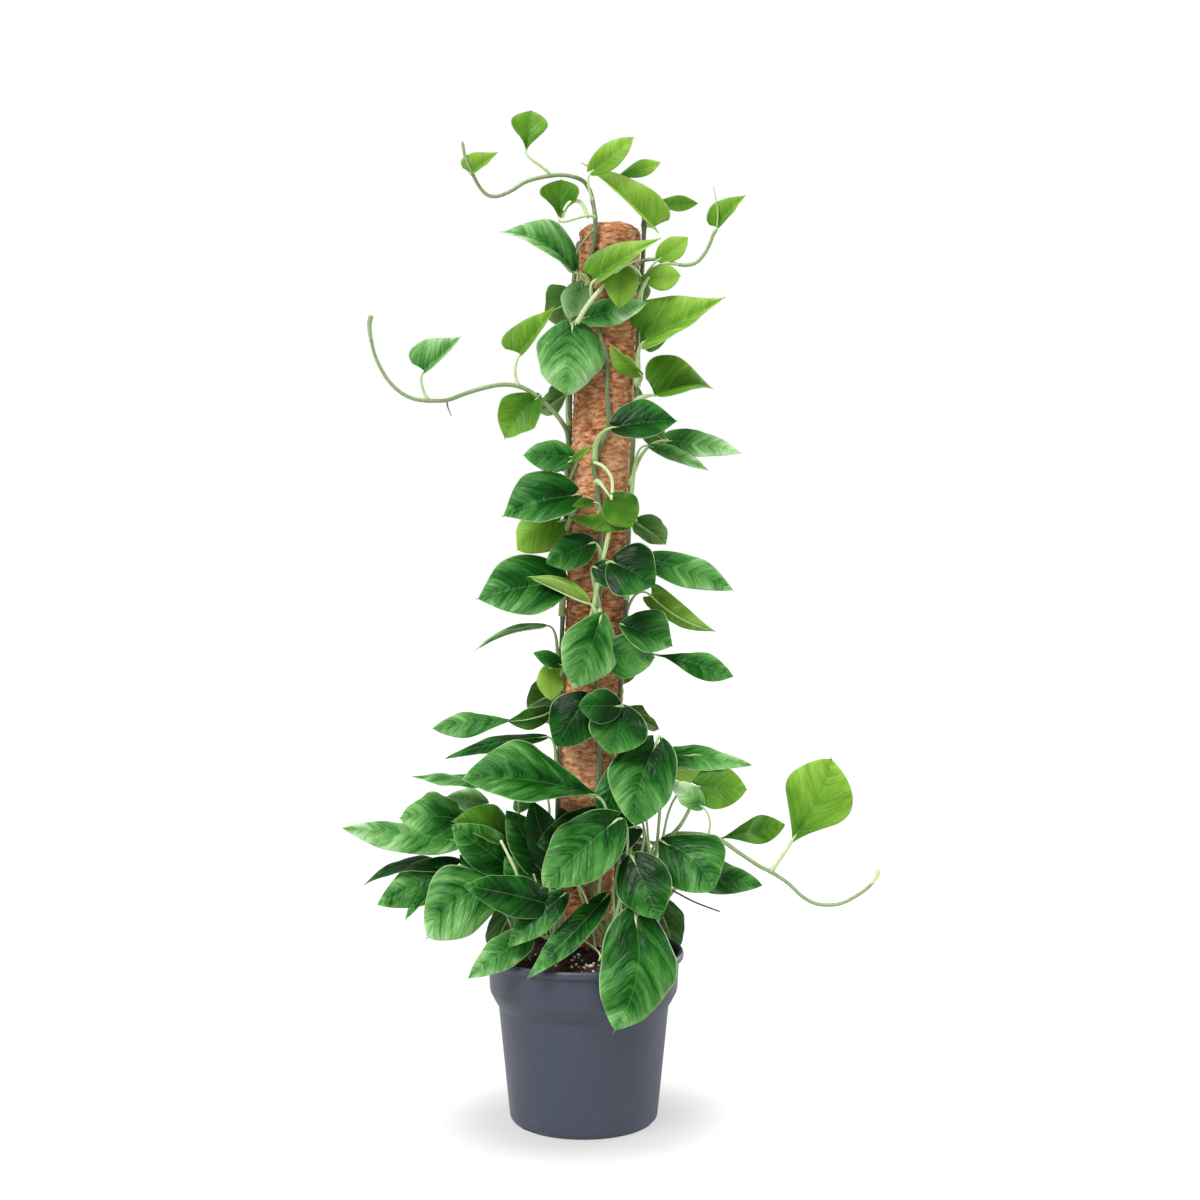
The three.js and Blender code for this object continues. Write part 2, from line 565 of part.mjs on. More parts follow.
const plant = new THREE.Group();
plant.name = "potted_monstera_pinnatipartita";
plant.add(
  meshOf("pot", potSolid(), 0x4e5563, 0.45),
  meshOf("soil", soilSolid(), 0x33241a, 0.95),
  meshOf("pole_core", coreSolid(), 0x8a6b45, 0.8),
  meshOf("coir_pole", coirSolid(), 0xb06a40, 0.95),
);
for (const [name, stem] of Object.entries(STEMS)) {
  plant.add(meshOf(name, stemSolid(stem), 0x2f7a3a, 0.5));
}

export default plant;
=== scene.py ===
# Potted monstera pinnatipartita on a coir pole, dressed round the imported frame.
# Pieces are worked out in millimetres, +Z up and front towards -Y, and made in metres.
import math
from types import SimpleNamespace

import bmesh
import bpy
import numpy as np
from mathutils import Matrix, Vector, noise


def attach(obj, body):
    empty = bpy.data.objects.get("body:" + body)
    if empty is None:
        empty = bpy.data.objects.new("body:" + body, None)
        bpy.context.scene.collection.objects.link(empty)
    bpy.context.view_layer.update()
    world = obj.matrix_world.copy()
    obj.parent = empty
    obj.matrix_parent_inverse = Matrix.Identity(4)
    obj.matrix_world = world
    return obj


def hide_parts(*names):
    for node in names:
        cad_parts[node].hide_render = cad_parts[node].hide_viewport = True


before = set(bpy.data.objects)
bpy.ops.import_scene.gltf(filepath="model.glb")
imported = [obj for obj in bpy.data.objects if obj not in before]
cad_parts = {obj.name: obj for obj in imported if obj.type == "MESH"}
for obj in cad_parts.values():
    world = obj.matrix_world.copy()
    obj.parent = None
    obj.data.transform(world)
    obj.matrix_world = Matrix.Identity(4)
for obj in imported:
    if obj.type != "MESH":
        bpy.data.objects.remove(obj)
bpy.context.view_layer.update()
MM = 0.001


# The studio: a table of opal acrylic, lit from below, in a white tent. A strong wide light stands high in
# front on the left, and a weaker one, low behind on the right, catches the edge of the plant there. The
# camera stands 2.3 m in front, a little above the plant's middle, and looks down by 2.9 degrees.
EYE = np.array([19.5, -2300.0, 740.0])
PITCH = 2.9
LENS = 58.2
SENSOR = 36
TENT = {"horizon": 0.3, "zenith": 0.9}
LIGHTS = {
    "soft_light": {"from": (-0.62, -0.9, 1.15), "strength": 3.5, "width": 30},
    "edge_light": {"from": (1, 0.6, 0.3), "strength": 2.5, "width": 40},
}
# To the eye alone the table glows, dimly up to 0.085 m from the pot's middle and fully from 0.22 m on; the
# dim ring round the pot is a painted shadow.
TABLE = {"to_eye": "#505050", "to_plant": "#d0d0d0"}
GLOW_AND_POT_SHADOW = {"From Min": 0.085, "From Max": 0.22, "To Min": 0.6, "To Max": 0.97}
TABLE_HALF = 12000


def linear(colour):
    """An sRGB hex colour as linear red, green, blue and alpha."""
    parts = [int(colour[i : i + 2], 16) / 255 for i in (1, 3, 5)]
    return [p / 12.92 if p <= 0.04045 else ((p + 0.055) / 1.055) ** 2.4 for p in parts] + [1.0]


def add(tree, kind, links=None, stops=(), **settings):
    """Adds a shader node. An input takes another node, one of its sockets, a hex colour or a plain value.
    stops are the places and colours of a ramp."""
    node = tree.nodes.new("ShaderNode" + kind)
    for name, value in settings.items():
        setattr(node, name, value)
    for name, value in (links or {}).items():
        if isinstance(value, bpy.types.Node):
            value = value.outputs[0]
        if isinstance(value, bpy.types.NodeSocket):
            tree.links.new(value, node.inputs[name])
        else:
            node.inputs[name].default_value = linear(value) if isinstance(value, str) else value
    for i, (place, colour) in enumerate(stops):
        elements = node.color_ramp.elements
        element = elements[i] if i < 2 else elements.new(place)
        element.position = place
        element.color = linear(colour)
    return node


def material_of(name):
    """An empty material and its node tree."""
    material = bpy.data.materials.new(name)
    material.use_nodes = True
    material.node_tree.nodes.clear()
    return material, material.node_tree


def object_of(name, points, faces, *materials, finishes=None, marks=None):
    """A smooth mesh object from points in millimetres. finishes says which material each face has, and marks
    holds a vector for each point under the name of its attribute."""
    mesh = bpy.data.meshes.new(name)
    mesh.from_pydata((np.asarray(points) * MM).tolist(), [], faces)
    for material in materials:
        mesh.materials.append(material)
    mesh.polygons.foreach_set("use_smooth", [True] * len(mesh.polygons))
    if finishes is not None:
        mesh.polygons.foreach_set("material_index", finishes)
    for mark, values in (marks or {}).items():
        layer = mesh.attributes.new(mark, "FLOAT_VECTOR", "POINT")
        layer.data.foreach_set("vector", np.asarray(values, np.float32).ravel())
    mesh.update()
    made = bpy.data.objects.new(name, mesh)
    bpy.context.scene.collection.objects.link(made)
    return made


scene = bpy.context.scene
scene.view_settings.view_transform = "Standard"

camera_data = bpy.data.cameras.new("camera")
camera_data.lens = LENS
camera_data.sensor_width = SENSOR
camera = bpy.data.objects.new("camera", camera_data)
camera.location = EYE * MM
camera.rotation_euler = (math.radians(90 - PITCH), 0, 0)
scene.collection.objects.link(camera)
scene.camera = camera

# The tent is white to the eye, and gives the plant only part of its light, so that the lamps can model it.
tent = bpy.data.worlds.new("white_tent")
tent.use_nodes = True
tree = tent.node_tree
tree.nodes.clear()
to_eye = add(tree, "LightPath").outputs["Is Camera Ray"]
up = add(tree, "SeparateXYZ", {0: add(tree, "TexCoord").outputs["Generated"]}).outputs["Z"]
level = add(tree, "MapRange", {"Value": up, "To Min": TENT["horizon"], "To Max": TENT["zenith"]})
level = add(tree, "Math", {0: level, 1: to_eye}, operation="MAXIMUM")
add(tree, "OutputWorld", {"Surface": add(tree, "Background", {"Color": "#ffffff", "Strength": level})})
scene.world = tent

for name, light in LIGHTS.items():
    lamp = bpy.data.lights.new(name, "SUN")
    lamp.energy = light["strength"]
    lamp.angle = math.radians(light["width"])
    hung = bpy.data.objects.new(name, lamp)
    hung.rotation_euler = Vector(light["from"]).to_track_quat("Z", "Y").to_euler()
    scene.collection.objects.link(hung)

opal_acrylic, tree = material_of("opal_acrylic")
to_eye = add(tree, "LightPath").outputs["Is Camera Ray"]
colour = add(tree, "MixRGB", {"Fac": to_eye, "Color1": TABLE["to_plant"], "Color2": TABLE["to_eye"]})
place = add(tree, "TexCoord").outputs["Object"]
# The table glows less near the pot: a painted shadow round its foot.
away = add(tree, "VectorMath", {0: place}, operation="LENGTH").outputs["Value"]
glow_and_pot_shadow = add(tree, "MapRange", {"Value": away} | GLOW_AND_POT_SHADOW, interpolation_type="SMOOTHSTEP")
glow_and_pot_shadow = add(tree, "Math", {0: to_eye, 1: glow_and_pot_shadow}, operation="MULTIPLY")
lit = {"Base Color": colour, "Roughness": 0.95, "Emission Color": "#ffffff", "Emission Strength": glow_and_pot_shadow}
add(tree, "OutputMaterial", {"Surface": add(tree, "BsdfPrincipled", lit)})
corners = [(x * TABLE_HALF, y * TABLE_HALF, 0) for x, y in ((-1, -1), (1, -1), (1, 1), (-1, 1))]
floor = object_of("light_table", corners, [(0, 1, 2, 3)], opal_acrylic)


# Nursery pot: one thin shell of slate-grey polypropylene, injection moulded, with a wide collar under a
# rolled lip and slots for drainage round its foot. The mould leaves it satin, with a fine grain that dulls
# its gloss.
POT_HEIGHT = 205
POT_OUTSIDE = [
    (84, 0), (88.5, 5), (102, 140), (105, 144), (112.3, 158), (114, 194), (119.4, 196), (120, 201),
    (118.6, POT_HEIGHT),
]
POT_WALL = 2.6
POT_FLOOR = 3
POT_LIP = {"under": 196, "flat": 3, "chamfer": 1.5}
POT_SIDES = 160
POT_FILLET = 3.2
POT_COLOUR = "#333948"
POT_SCUFFED = "#3a404f"
SLOT = {"angles": (-47, 73, 193), "width": 24, "height": 4.5, "depth": 20, "out": 92, "fillet": 1.2}


def lattice(rows, columns, joined=False):
    """The faces of a grid of points, row by row. If joined, the last column meets the first."""
    faces = []
    for i in range(rows - 1):
        low, high = i * columns, (i + 1) * columns
        for j in range(columns if joined else columns - 1):
            k = (j + 1) % columns
            faces.append((low + j, low + k, high + k, high + j))
    return faces


def turned(profile, sides):
    """A closed skin, turned from a profile of (radius, z) that starts and ends on the axis."""
    ring = np.linspace(0, 2 * math.pi, sides, endpoint=False)
    radius, height = np.array(profile[1:-1], float).T
    points = np.empty((len(radius), sides, 3))
    points[..., 0] = radius[:, None] * np.cos(ring)
    points[..., 1] = radius[:, None] * np.sin(ring)
    points[..., 2] = height[:, None]
    points = points.reshape(-1, 3)
    start, end = len(points), len(points) + 1
    last = start - sides
    faces = lattice(len(radius), sides, joined=True)
    for j in range(sides):
        k = (j + 1) % sides
        faces += [(start, k, j), (end, last + j, last + k)]
    return np.vstack([points, [(0, 0, profile[0][1]), (0, 0, profile[-1][1])]]), faces


def filleted(profile, radius, steps=4):
    """The same profile with each corner rounded over radius, or over as much of its edges as there is."""
    corners = np.array(profile, float)
    rounded = [corners[0]]
    for before, corner, after in zip(corners, corners[1:], corners[2:]):
        reach = [min(radius, 0.45 * np.linalg.norm(end - corner)) for end in (before, after)]
        start = corner + (before - corner) * reach[0] / np.linalg.norm(before - corner)
        end = corner + (after - corner) * reach[1] / np.linalg.norm(after - corner)
        for t in np.linspace(0, 1, steps + 1):
            rounded.append((1 - t) ** 2 * start + 2 * t * (1 - t) * corner + t * t * end)
    rounded.append(corners[-1])
    return [tuple(point) for point in rounded]


pot_inside = [(r - POT_WALL, z) for r, z in POT_OUTSIDE if POT_FLOOR < z < POT_LIP["under"]]
mouth = [
    (POT_OUTSIDE[-1][0] - POT_LIP["flat"], POT_HEIGHT),
    (pot_inside[-1][0] + POT_LIP["chamfer"], POT_HEIGHT - POT_LIP["chamfer"]),
]
inner = [*reversed(pot_inside), (pot_inside[0][0] - 1, POT_FLOOR), (0, POT_FLOOR)]
shell = filleted([(0, 0), *POT_OUTSIDE, *mouth, *inner], POT_FILLET)

polypropylene, tree = material_of("moulded_polypropylene")
place = add(tree, "TexCoord").outputs["Object"]
grain = add(tree, "TexNoise", {"Vector": place, "Scale": 1400, "Detail": 2})
scuffs = add(tree, "TexNoise", {"Vector": place, "Scale": 60, "Detail": 6, "Roughness": 0.7})
worn = add(tree, "MapRange", {"Value": scuffs, "From Min": 0.5, "From Max": 0.75})
colour = add(tree, "MixRGB", {"Fac": worn, "Color1": POT_COLOUR, "Color2": POT_SCUFFED})
dull = add(tree, "MapRange", {"Value": scuffs, "To Min": 0.34, "To Max": 0.52})
bump = add(tree, "Bump", {"Height": grain, "Strength": 0.25, "Distance": 0.0004})
satin = add(tree, "BsdfPrincipled", {"Base Color": colour, "Roughness": dull, "Normal": bump})
add(tree, "OutputMaterial", {"Surface": satin})

pot = object_of("nursery_pot", *turned(shell, POT_SIDES), polypropylene)
for angle in SLOT["angles"]:
    block = bmesh.new()
    block_size = (SLOT["width"] * MM, SLOT["depth"] * MM, 2 * SLOT["height"] * MM)
    bmesh.ops.create_cube(block, size=1)
    bmesh.ops.scale(block, vec=block_size, verts=block.verts)
    bmesh.ops.bevel(block, geom=block.edges, offset=SLOT["fillet"] * MM, segments=3, affect="EDGES")
    bmesh.ops.translate(block, vec=(0, -SLOT["out"] * MM, 0), verts=block.verts)
    cutter_mesh = bpy.data.meshes.new("slot_cutter")
    block.to_mesh(cutter_mesh)
    block.free()
    cutter = bpy.data.objects.new("slot_cutter", cutter_mesh)
    cutter.rotation_euler.z = math.radians(angle)
    scene.collection.objects.link(cutter)
    cut = pot.modifiers.new("slot", "BOOLEAN")
    cut.object = cutter
    cut.operation = "DIFFERENCE"
    bpy.context.view_layer.update()
    slotted = bpy.data.meshes.new_from_object(pot.evaluated_get(bpy.context.evaluated_depsgraph_get()))
    pot.modifiers.clear()
    pot.data = slotted
    bpy.data.objects.remove(cutter)
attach(pot, "root")
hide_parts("pot")


# Potting mix: dark peat and bark, poured in round the stems, heaped a little round the pole and loose on
# top. Only the part inside the collar and above it is made, since the pot hides the rest.
SOIL_RISE = [(0, 213), (52, 212.35), (76, 207.8), (98, 202.6), (111, 195)]
SOIL_BUMPS = 2.6
SOIL_GAP = 0.5
SOIL_RINGS = 44
SOIL_SIDES = 120
SOIL_COLOURS = [(0.35, "#1d120c"), (0.62, "#4a2c1a"), (0.8, "#6a4a32")]
CRUMBS = {"count": 2600, "between": (30, 109), "sizes": (0.8, 2.4), "lift": 0, "flat": 1, "seed": 12}
BARK = {"count": 260, "between": (36, 106), "sizes": (2.2, 4.6), "lift": 0.8, "flat": 0.45, "seed": 13}


def ground(x, y):
    """The height of the soil's top at x and y."""
    radius = np.hypot(x, y)
    bumps = [noise.fractal(Vector((px / 16, py / 16, 0)), 0.8, 2.0, 4) for px, py in zip(x, y)]
    return np.interp(radius, *zip(*SOIL_RISE)) + SOIL_BUMPS * np.array(bumps)


def put_together(skins):
    """Skins of points and faces as one skin, with the faces counted on from one to the next."""
    points, faces, first = [], [], 0
    for skin_points, skin_faces in skins:
        points.append(skin_points)
        faces += [tuple(first + i for i in face) for face in skin_faces]
        first += len(skin_points)
    return np.vstack(points), faces


def ball_of(divisions):
    """The points and faces of a ball with a radius of one."""
    ball = bmesh.new()
    bmesh.ops.create_icosphere(ball, subdivisions=divisions, radius=1)
    points = np.array([v.co for v in ball.verts])
    faces = [tuple(v.index for v in f.verts) for f in ball.faces]
    ball.free()
    return points, faces


def scattered(places, sizes, divisions, seed, flat=1):
    """Crumbs at the places, each turned its own way and out of round."""
    rng = np.random.default_rng(seed)
    points, faces = ball_of(divisions)
    crumbs = []
    for place, size in zip(places, sizes):
        turn, _ = np.linalg.qr(rng.normal(size=(3, 3)))
        crumb = points * rng.uniform(0.72, 1.18, (len(points), 1)) * rng.uniform(0.6, 1.25, 3)
        if np.linalg.det(turn) < 0:
            turn[0] *= -1
        crumbs.append((place + size * (crumb @ turn) * (1, 1, flat), faces))
    return put_together(crumbs)


def strewn(rng, kind):
    """Places spread evenly over the soil between two radii and lifted a little, with a size for each."""
    inner, outer = kind["between"]
    radius = np.sqrt(rng.uniform(inner**2, outer**2, kind["count"]))
    angle = rng.uniform(0, 2 * math.pi, kind["count"])
    x, y = radius * np.cos(angle), radius * np.sin(angle)
    places = np.stack([x, y, ground(x, y) + kind["lift"]], axis=1)
    return places, rng.uniform(*kind["sizes"], kind["count"])


brim_radius, brim = SOIL_RISE[-1]
rings = [(r - SOIL_GAP, z) for r, z in pot_inside[-2:]]
rings += [(r, np.interp(r, *zip(*SOIL_RISE))) for r in np.linspace(brim_radius - 0.1, 4, SOIL_RINGS)]
bed_points, bed_faces = turned([(0, pot_inside[-2][1]), *rings, SOIL_RISE[0]], SOIL_SIDES)
top = bed_points[:, 2] > brim - 0.5
bed_points[top, 2] = ground(bed_points[top, 0], bed_points[top, 1])

peat, tree = material_of("peat_and_bark")
place = add(tree, "TexCoord").outputs["Object"]
crumb_grain = add(tree, "TexNoise", {"Vector": place, "Scale": 260, "Detail": 5, "Roughness": 0.7})
patches = add(tree, "TexNoise", {"Vector": place, "Scale": 900, "Detail": 2})
shade = add(tree, "ValToRGB", {"Fac": patches}, stops=SOIL_COLOURS)
bump = add(tree, "Bump", {"Height": crumb_grain, "Strength": 0.8, "Distance": 0.002})
earthy = add(tree, "BsdfPrincipled", {"Base Color": shade, "Roughness": 0.92, "Normal": bump})
add(tree, "OutputMaterial", {"Surface": earthy})

rng = np.random.default_rng(11)
mix = [(bed_points, bed_faces)]
for kind in (CRUMBS, BARK):
    mix.append(scattered(*strewn(rng, kind), 1, kind["seed"], kind["flat"]))
soil = object_of("potting_mix", *put_together(mix), peat)
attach(soil, "root")
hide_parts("soil")


# Perlite: volcanic glass puffed up by heat, chalk white, light and full of pores. Its beads are mixed into
# the soil and come to the top, where the largest lie together at the front.
PERLITE_FRONT = [
    (-8, -91, 2.6), (1, -93, 2.1), (4, -88, 2.4), (9, -92, 2.7), (-13, -94, 1.9), (12, -86, 1.8),
]
PERLITE_FRONT_LIFT = 2.2
PERLITE_STRAY = {"count": 150, "between": (34, 107), "sizes": (0.8, 2.1), "lift": 1.2}
PERLITE_COLOURS = [(0.3, "#b9b2a6"), (0.6, "#f1eee6")]

perlite, tree = material_of("expanded_perlite")
place = add(tree, "TexCoord").outputs["Object"]
pores = add(tree, "TexNoise", {"Vector": place, "Scale": 1300, "Detail": 3})
tint = add(tree, "ValToRGB", {"Fac": pores}, stops=PERLITE_COLOURS)
bump = add(tree, "Bump", {"Height": pores, "Strength": 0.5, "Distance": 0.0006})
chalky = add(tree, "BsdfPrincipled", {"Base Color": tint, "Roughness": 0.9, "Normal": bump})
add(tree, "OutputMaterial", {"Surface": chalky})

front_x, front_y, front_sizes = np.array(PERLITE_FRONT).T
front = np.stack([front_x, front_y, ground(front_x, front_y) + PERLITE_FRONT_LIFT], axis=1)
stray, stray_sizes = strewn(rng, PERLITE_STRAY)
bead_places = np.vstack([front, stray])
bead_sizes = [*front_sizes, *stray_sizes]
beads = object_of("perlite_beads", *scattered(bead_places, bead_sizes, 2, 14), perlite)
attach(beads, "root")


# Coir pole: matted coconut fibre pressed and bound into a sleeve round a wooden stake, pushed down to the
# pot's floor. The fibres run round the pole in tufts with pits between them, and loose ends stand out
# all over. Its colour follows the tufts' height: lighter on the tufts and darker in the pits, a painted
# light and shade over the fibre's own browns.
POLE_RADIUS = 36
POLE_TOP = 1068
POLE_DOME = 14
POLE_LEAN = 0.0367
POLE_FOOT = POT_FLOOR + 0.4
POLE_SIDES = 92
POLE_RINGS = 400
CORE_RADIUS = 12
CORE_TOP = 1046
CORE_GAP = 0.4
# How far the tufts stand out, and up on the dome, and how wide and high they are.
COIR_TUFTS = {"out": 2.0, "up": 1.6, "wide": 12, "high": 4.8}
# The ramp runs from pits to tufts: its dark end is painted shade in the pits, its light end painted light on
# the tufts.
COIR_COLOURS_AND_SHADE = [(0.33, "#50280f"), (0.43, "#97582e"), (0.52, "#c4895c"), (0.64, "#e8b78e")]
STAKE_COLOURS = [(0.3, "#7a5a38"), (0.7, "#a58258")]
# Loose fibres: how far round the pole each goes in radians, how far it slants, how far it stands out, how
# many of them stand out further, and how thick they are along their length.
FIBRES = 2600
FIBRE = {"span": (0.12, 0.5), "slant": 9, "out": (0.2, 1.6), "wild": 0.08, "wild_out": (1, 5)}
FIBRE_RADIUS = (0.16, 0.34)
FIBRE_TAPER = np.array([0.6, 1, 1, 0.9, 0.4])


def axis_x(z):
    """Where the pole's axis is at height z: it leans to the right."""
    return POLE_LEAN * (z - POT_HEIGHT)


def tuft(x, y, z):
    """How far the matted fibre stands out at a point, from about -1 to 1, drawn out along the fibres."""
    wide, high = COIR_TUFTS["wide"], COIR_TUFTS["high"]
    return noise.fractal(Vector((x / wide, y / wide, z / high)), 0.8, 2.0, 4)


def rod_through(points, radii, sides):
    """A round rod through the points, closed at both ends, as points and faces."""
    points = np.asarray(points, float)
    along = np.gradient(points, axis=0)
    along /= np.linalg.norm(along, axis=1, keepdims=True)
    side = np.cross(along[0], (0.3, 0.9, 0.1))
    turn = np.linspace(0, 2 * math.pi, sides, endpoint=False)[:, None]
    skin = []
    for middle, ahead, radius in zip(points, along, radii):
        side = side - ahead * (side @ ahead)
        side /= np.linalg.norm(side)
        skin.append(middle + radius * (np.cos(turn) * side + np.sin(turn) * np.cross(ahead, side)))
    faces = lattice(len(points), sides, joined=True)
    last = (len(points) - 1) * sides
    faces.append(tuple(range(sides - 1, -1, -1)))
    faces.append(tuple(range(last, last + sides)))
    return np.vstack(skin), faces


shoulder = POLE_TOP - POLE_DOME
sleeve = [(POLE_RADIUS, z) for z in np.linspace(POLE_FOOT, shoulder, POLE_RINGS)]
dome = [(POLE_RADIUS * math.cos(a), shoulder + POLE_DOME * math.sin(a)) for a in np.linspace(0.12, 1.5, 11)]
bore = CORE_RADIUS + CORE_GAP
inner = [(0, CORE_TOP + CORE_GAP), (bore, CORE_TOP + CORE_GAP), (bore, POLE_FOOT)]
coir_points, coir_faces = turned([*inner, *sleeve, *dome, (0, POLE_TOP)], POLE_SIDES)
for point in coir_points:
    radius = math.hypot(point[0], point[1])
    if radius > bore + 1:
        point[:2] *= 1 + COIR_TUFTS["out"] * (tuft(*point) - 0.2) / radius
    if point[2] > shoulder:
        point[2] += COIR_TUFTS["up"] * tuft(point[0], point[1], point[2] + 50)
    point[0] += axis_x(point[2])

rng = np.random.default_rng(21)
coir_skins = [(coir_points, coir_faces)]
for _ in range(FIBRES):
    z = rng.uniform(POT_HEIGHT, shoulder + 4)
    angle = rng.uniform(0, 2 * math.pi)
    span = rng.uniform(*FIBRE["span"])
    slant = rng.normal(0, FIBRE["slant"])
    stand = rng.uniform(*FIBRE["out"]) + (rng.random() < FIBRE["wild"]) * rng.uniform(*FIBRE["wild_out"])
    u = np.linspace(0, 1, len(FIBRE_TAPER))
    out = POLE_RADIUS + 0.1 + stand * np.sin(math.pi * u * rng.uniform(0.5, 1))
    at = angle + span * (u - 0.5)
    height = z + slant * (u - 0.5) + rng.normal(0, 1) * np.sin(math.pi * u)
    strand = np.stack([axis_x(height) + out * np.cos(at), out * np.sin(at), height], axis=1)
    coir_skins.append(rod_through(strand, rng.uniform(*FIBRE_RADIUS) * FIBRE_TAPER, 3))

coir_fibre, tree = material_of("matted_coconut_fibre")
place = add(tree, "TexCoord").outputs["Object"]
drawn = add(tree, "Mapping", {"Vector": place, "Scale": (1, 1, 2.6)})
tufts = add(tree, "TexNoise", {"Vector": drawn, "Scale": 95, "Detail": 6, "Roughness": 0.62})
strands = add(tree, "TexNoise", {"Vector": drawn, "Scale": 600, "Detail": 3})
wide = add(tree, "TexNoise", {"Vector": place, "Scale": 11, "Detail": 3})
# One height for bump and colour: the colour darkens in the pits as painted shade and lightens on the tufts
# as painted light.
tuft_relief_and_pit_shade = -0.1
for pattern, share in ((tufts, 0.72), (strands, 0.2), (wide, 0.3)):
    tuft_relief_and_pit_shade = add(tree, "Math", {0: pattern, 1: share, 2: tuft_relief_and_pit_shade}, operation="MULTIPLY_ADD")
shade = add(tree, "ValToRGB", {"Fac": tuft_relief_and_pit_shade}, stops=COIR_COLOURS_AND_SHADE)
bump = add(tree, "Bump", {"Height": tuft_relief_and_pit_shade, "Strength": 1.0, "Distance": 0.004})
fibrous = add(tree, "BsdfPrincipled", {"Base Color": shade, "Roughness": 0.95, "Normal": bump})
add(tree, "OutputMaterial", {"Surface": fibrous})

coir = object_of("coir_sleeve", *put_together(coir_skins), coir_fibre)
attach(coir, "root")
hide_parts("coir_pole")

# The stake inside the sleeve is sawn pine, with its grain along it.
stake_wood, tree = material_of("sawn_pine_stake")
place = add(tree, "TexCoord").outputs["Object"]
lengthways = add(tree, "Mapping", {"Vector": place, "Scale": (1, 1, 0.06)})
rings_of_wood = add(tree, "TexNoise", {"Vector": lengthways, "Scale": 260, "Detail": 4})
shade = add(tree, "ValToRGB", {"Fac": rings_of_wood}, stops=STAKE_COLOURS)
sawn = add(tree, "BsdfPrincipled", {"Base Color": shade, "Roughness": 0.8})
add(tree, "OutputMaterial", {"Surface": sawn})

stake_profile = [(0, POLE_FOOT), (CORE_RADIUS, POLE_FOOT), (CORE_RADIUS, CORE_TOP), (0, CORE_TOP)]
stake_points, stake_faces = turned(stake_profile, 48)
stake_points[:, 0] += axis_x(stake_points[:, 2])
stake = object_of("pine_stake", stake_points, stake_faces, stake_wood)
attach(stake, "root")
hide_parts("pole_core")
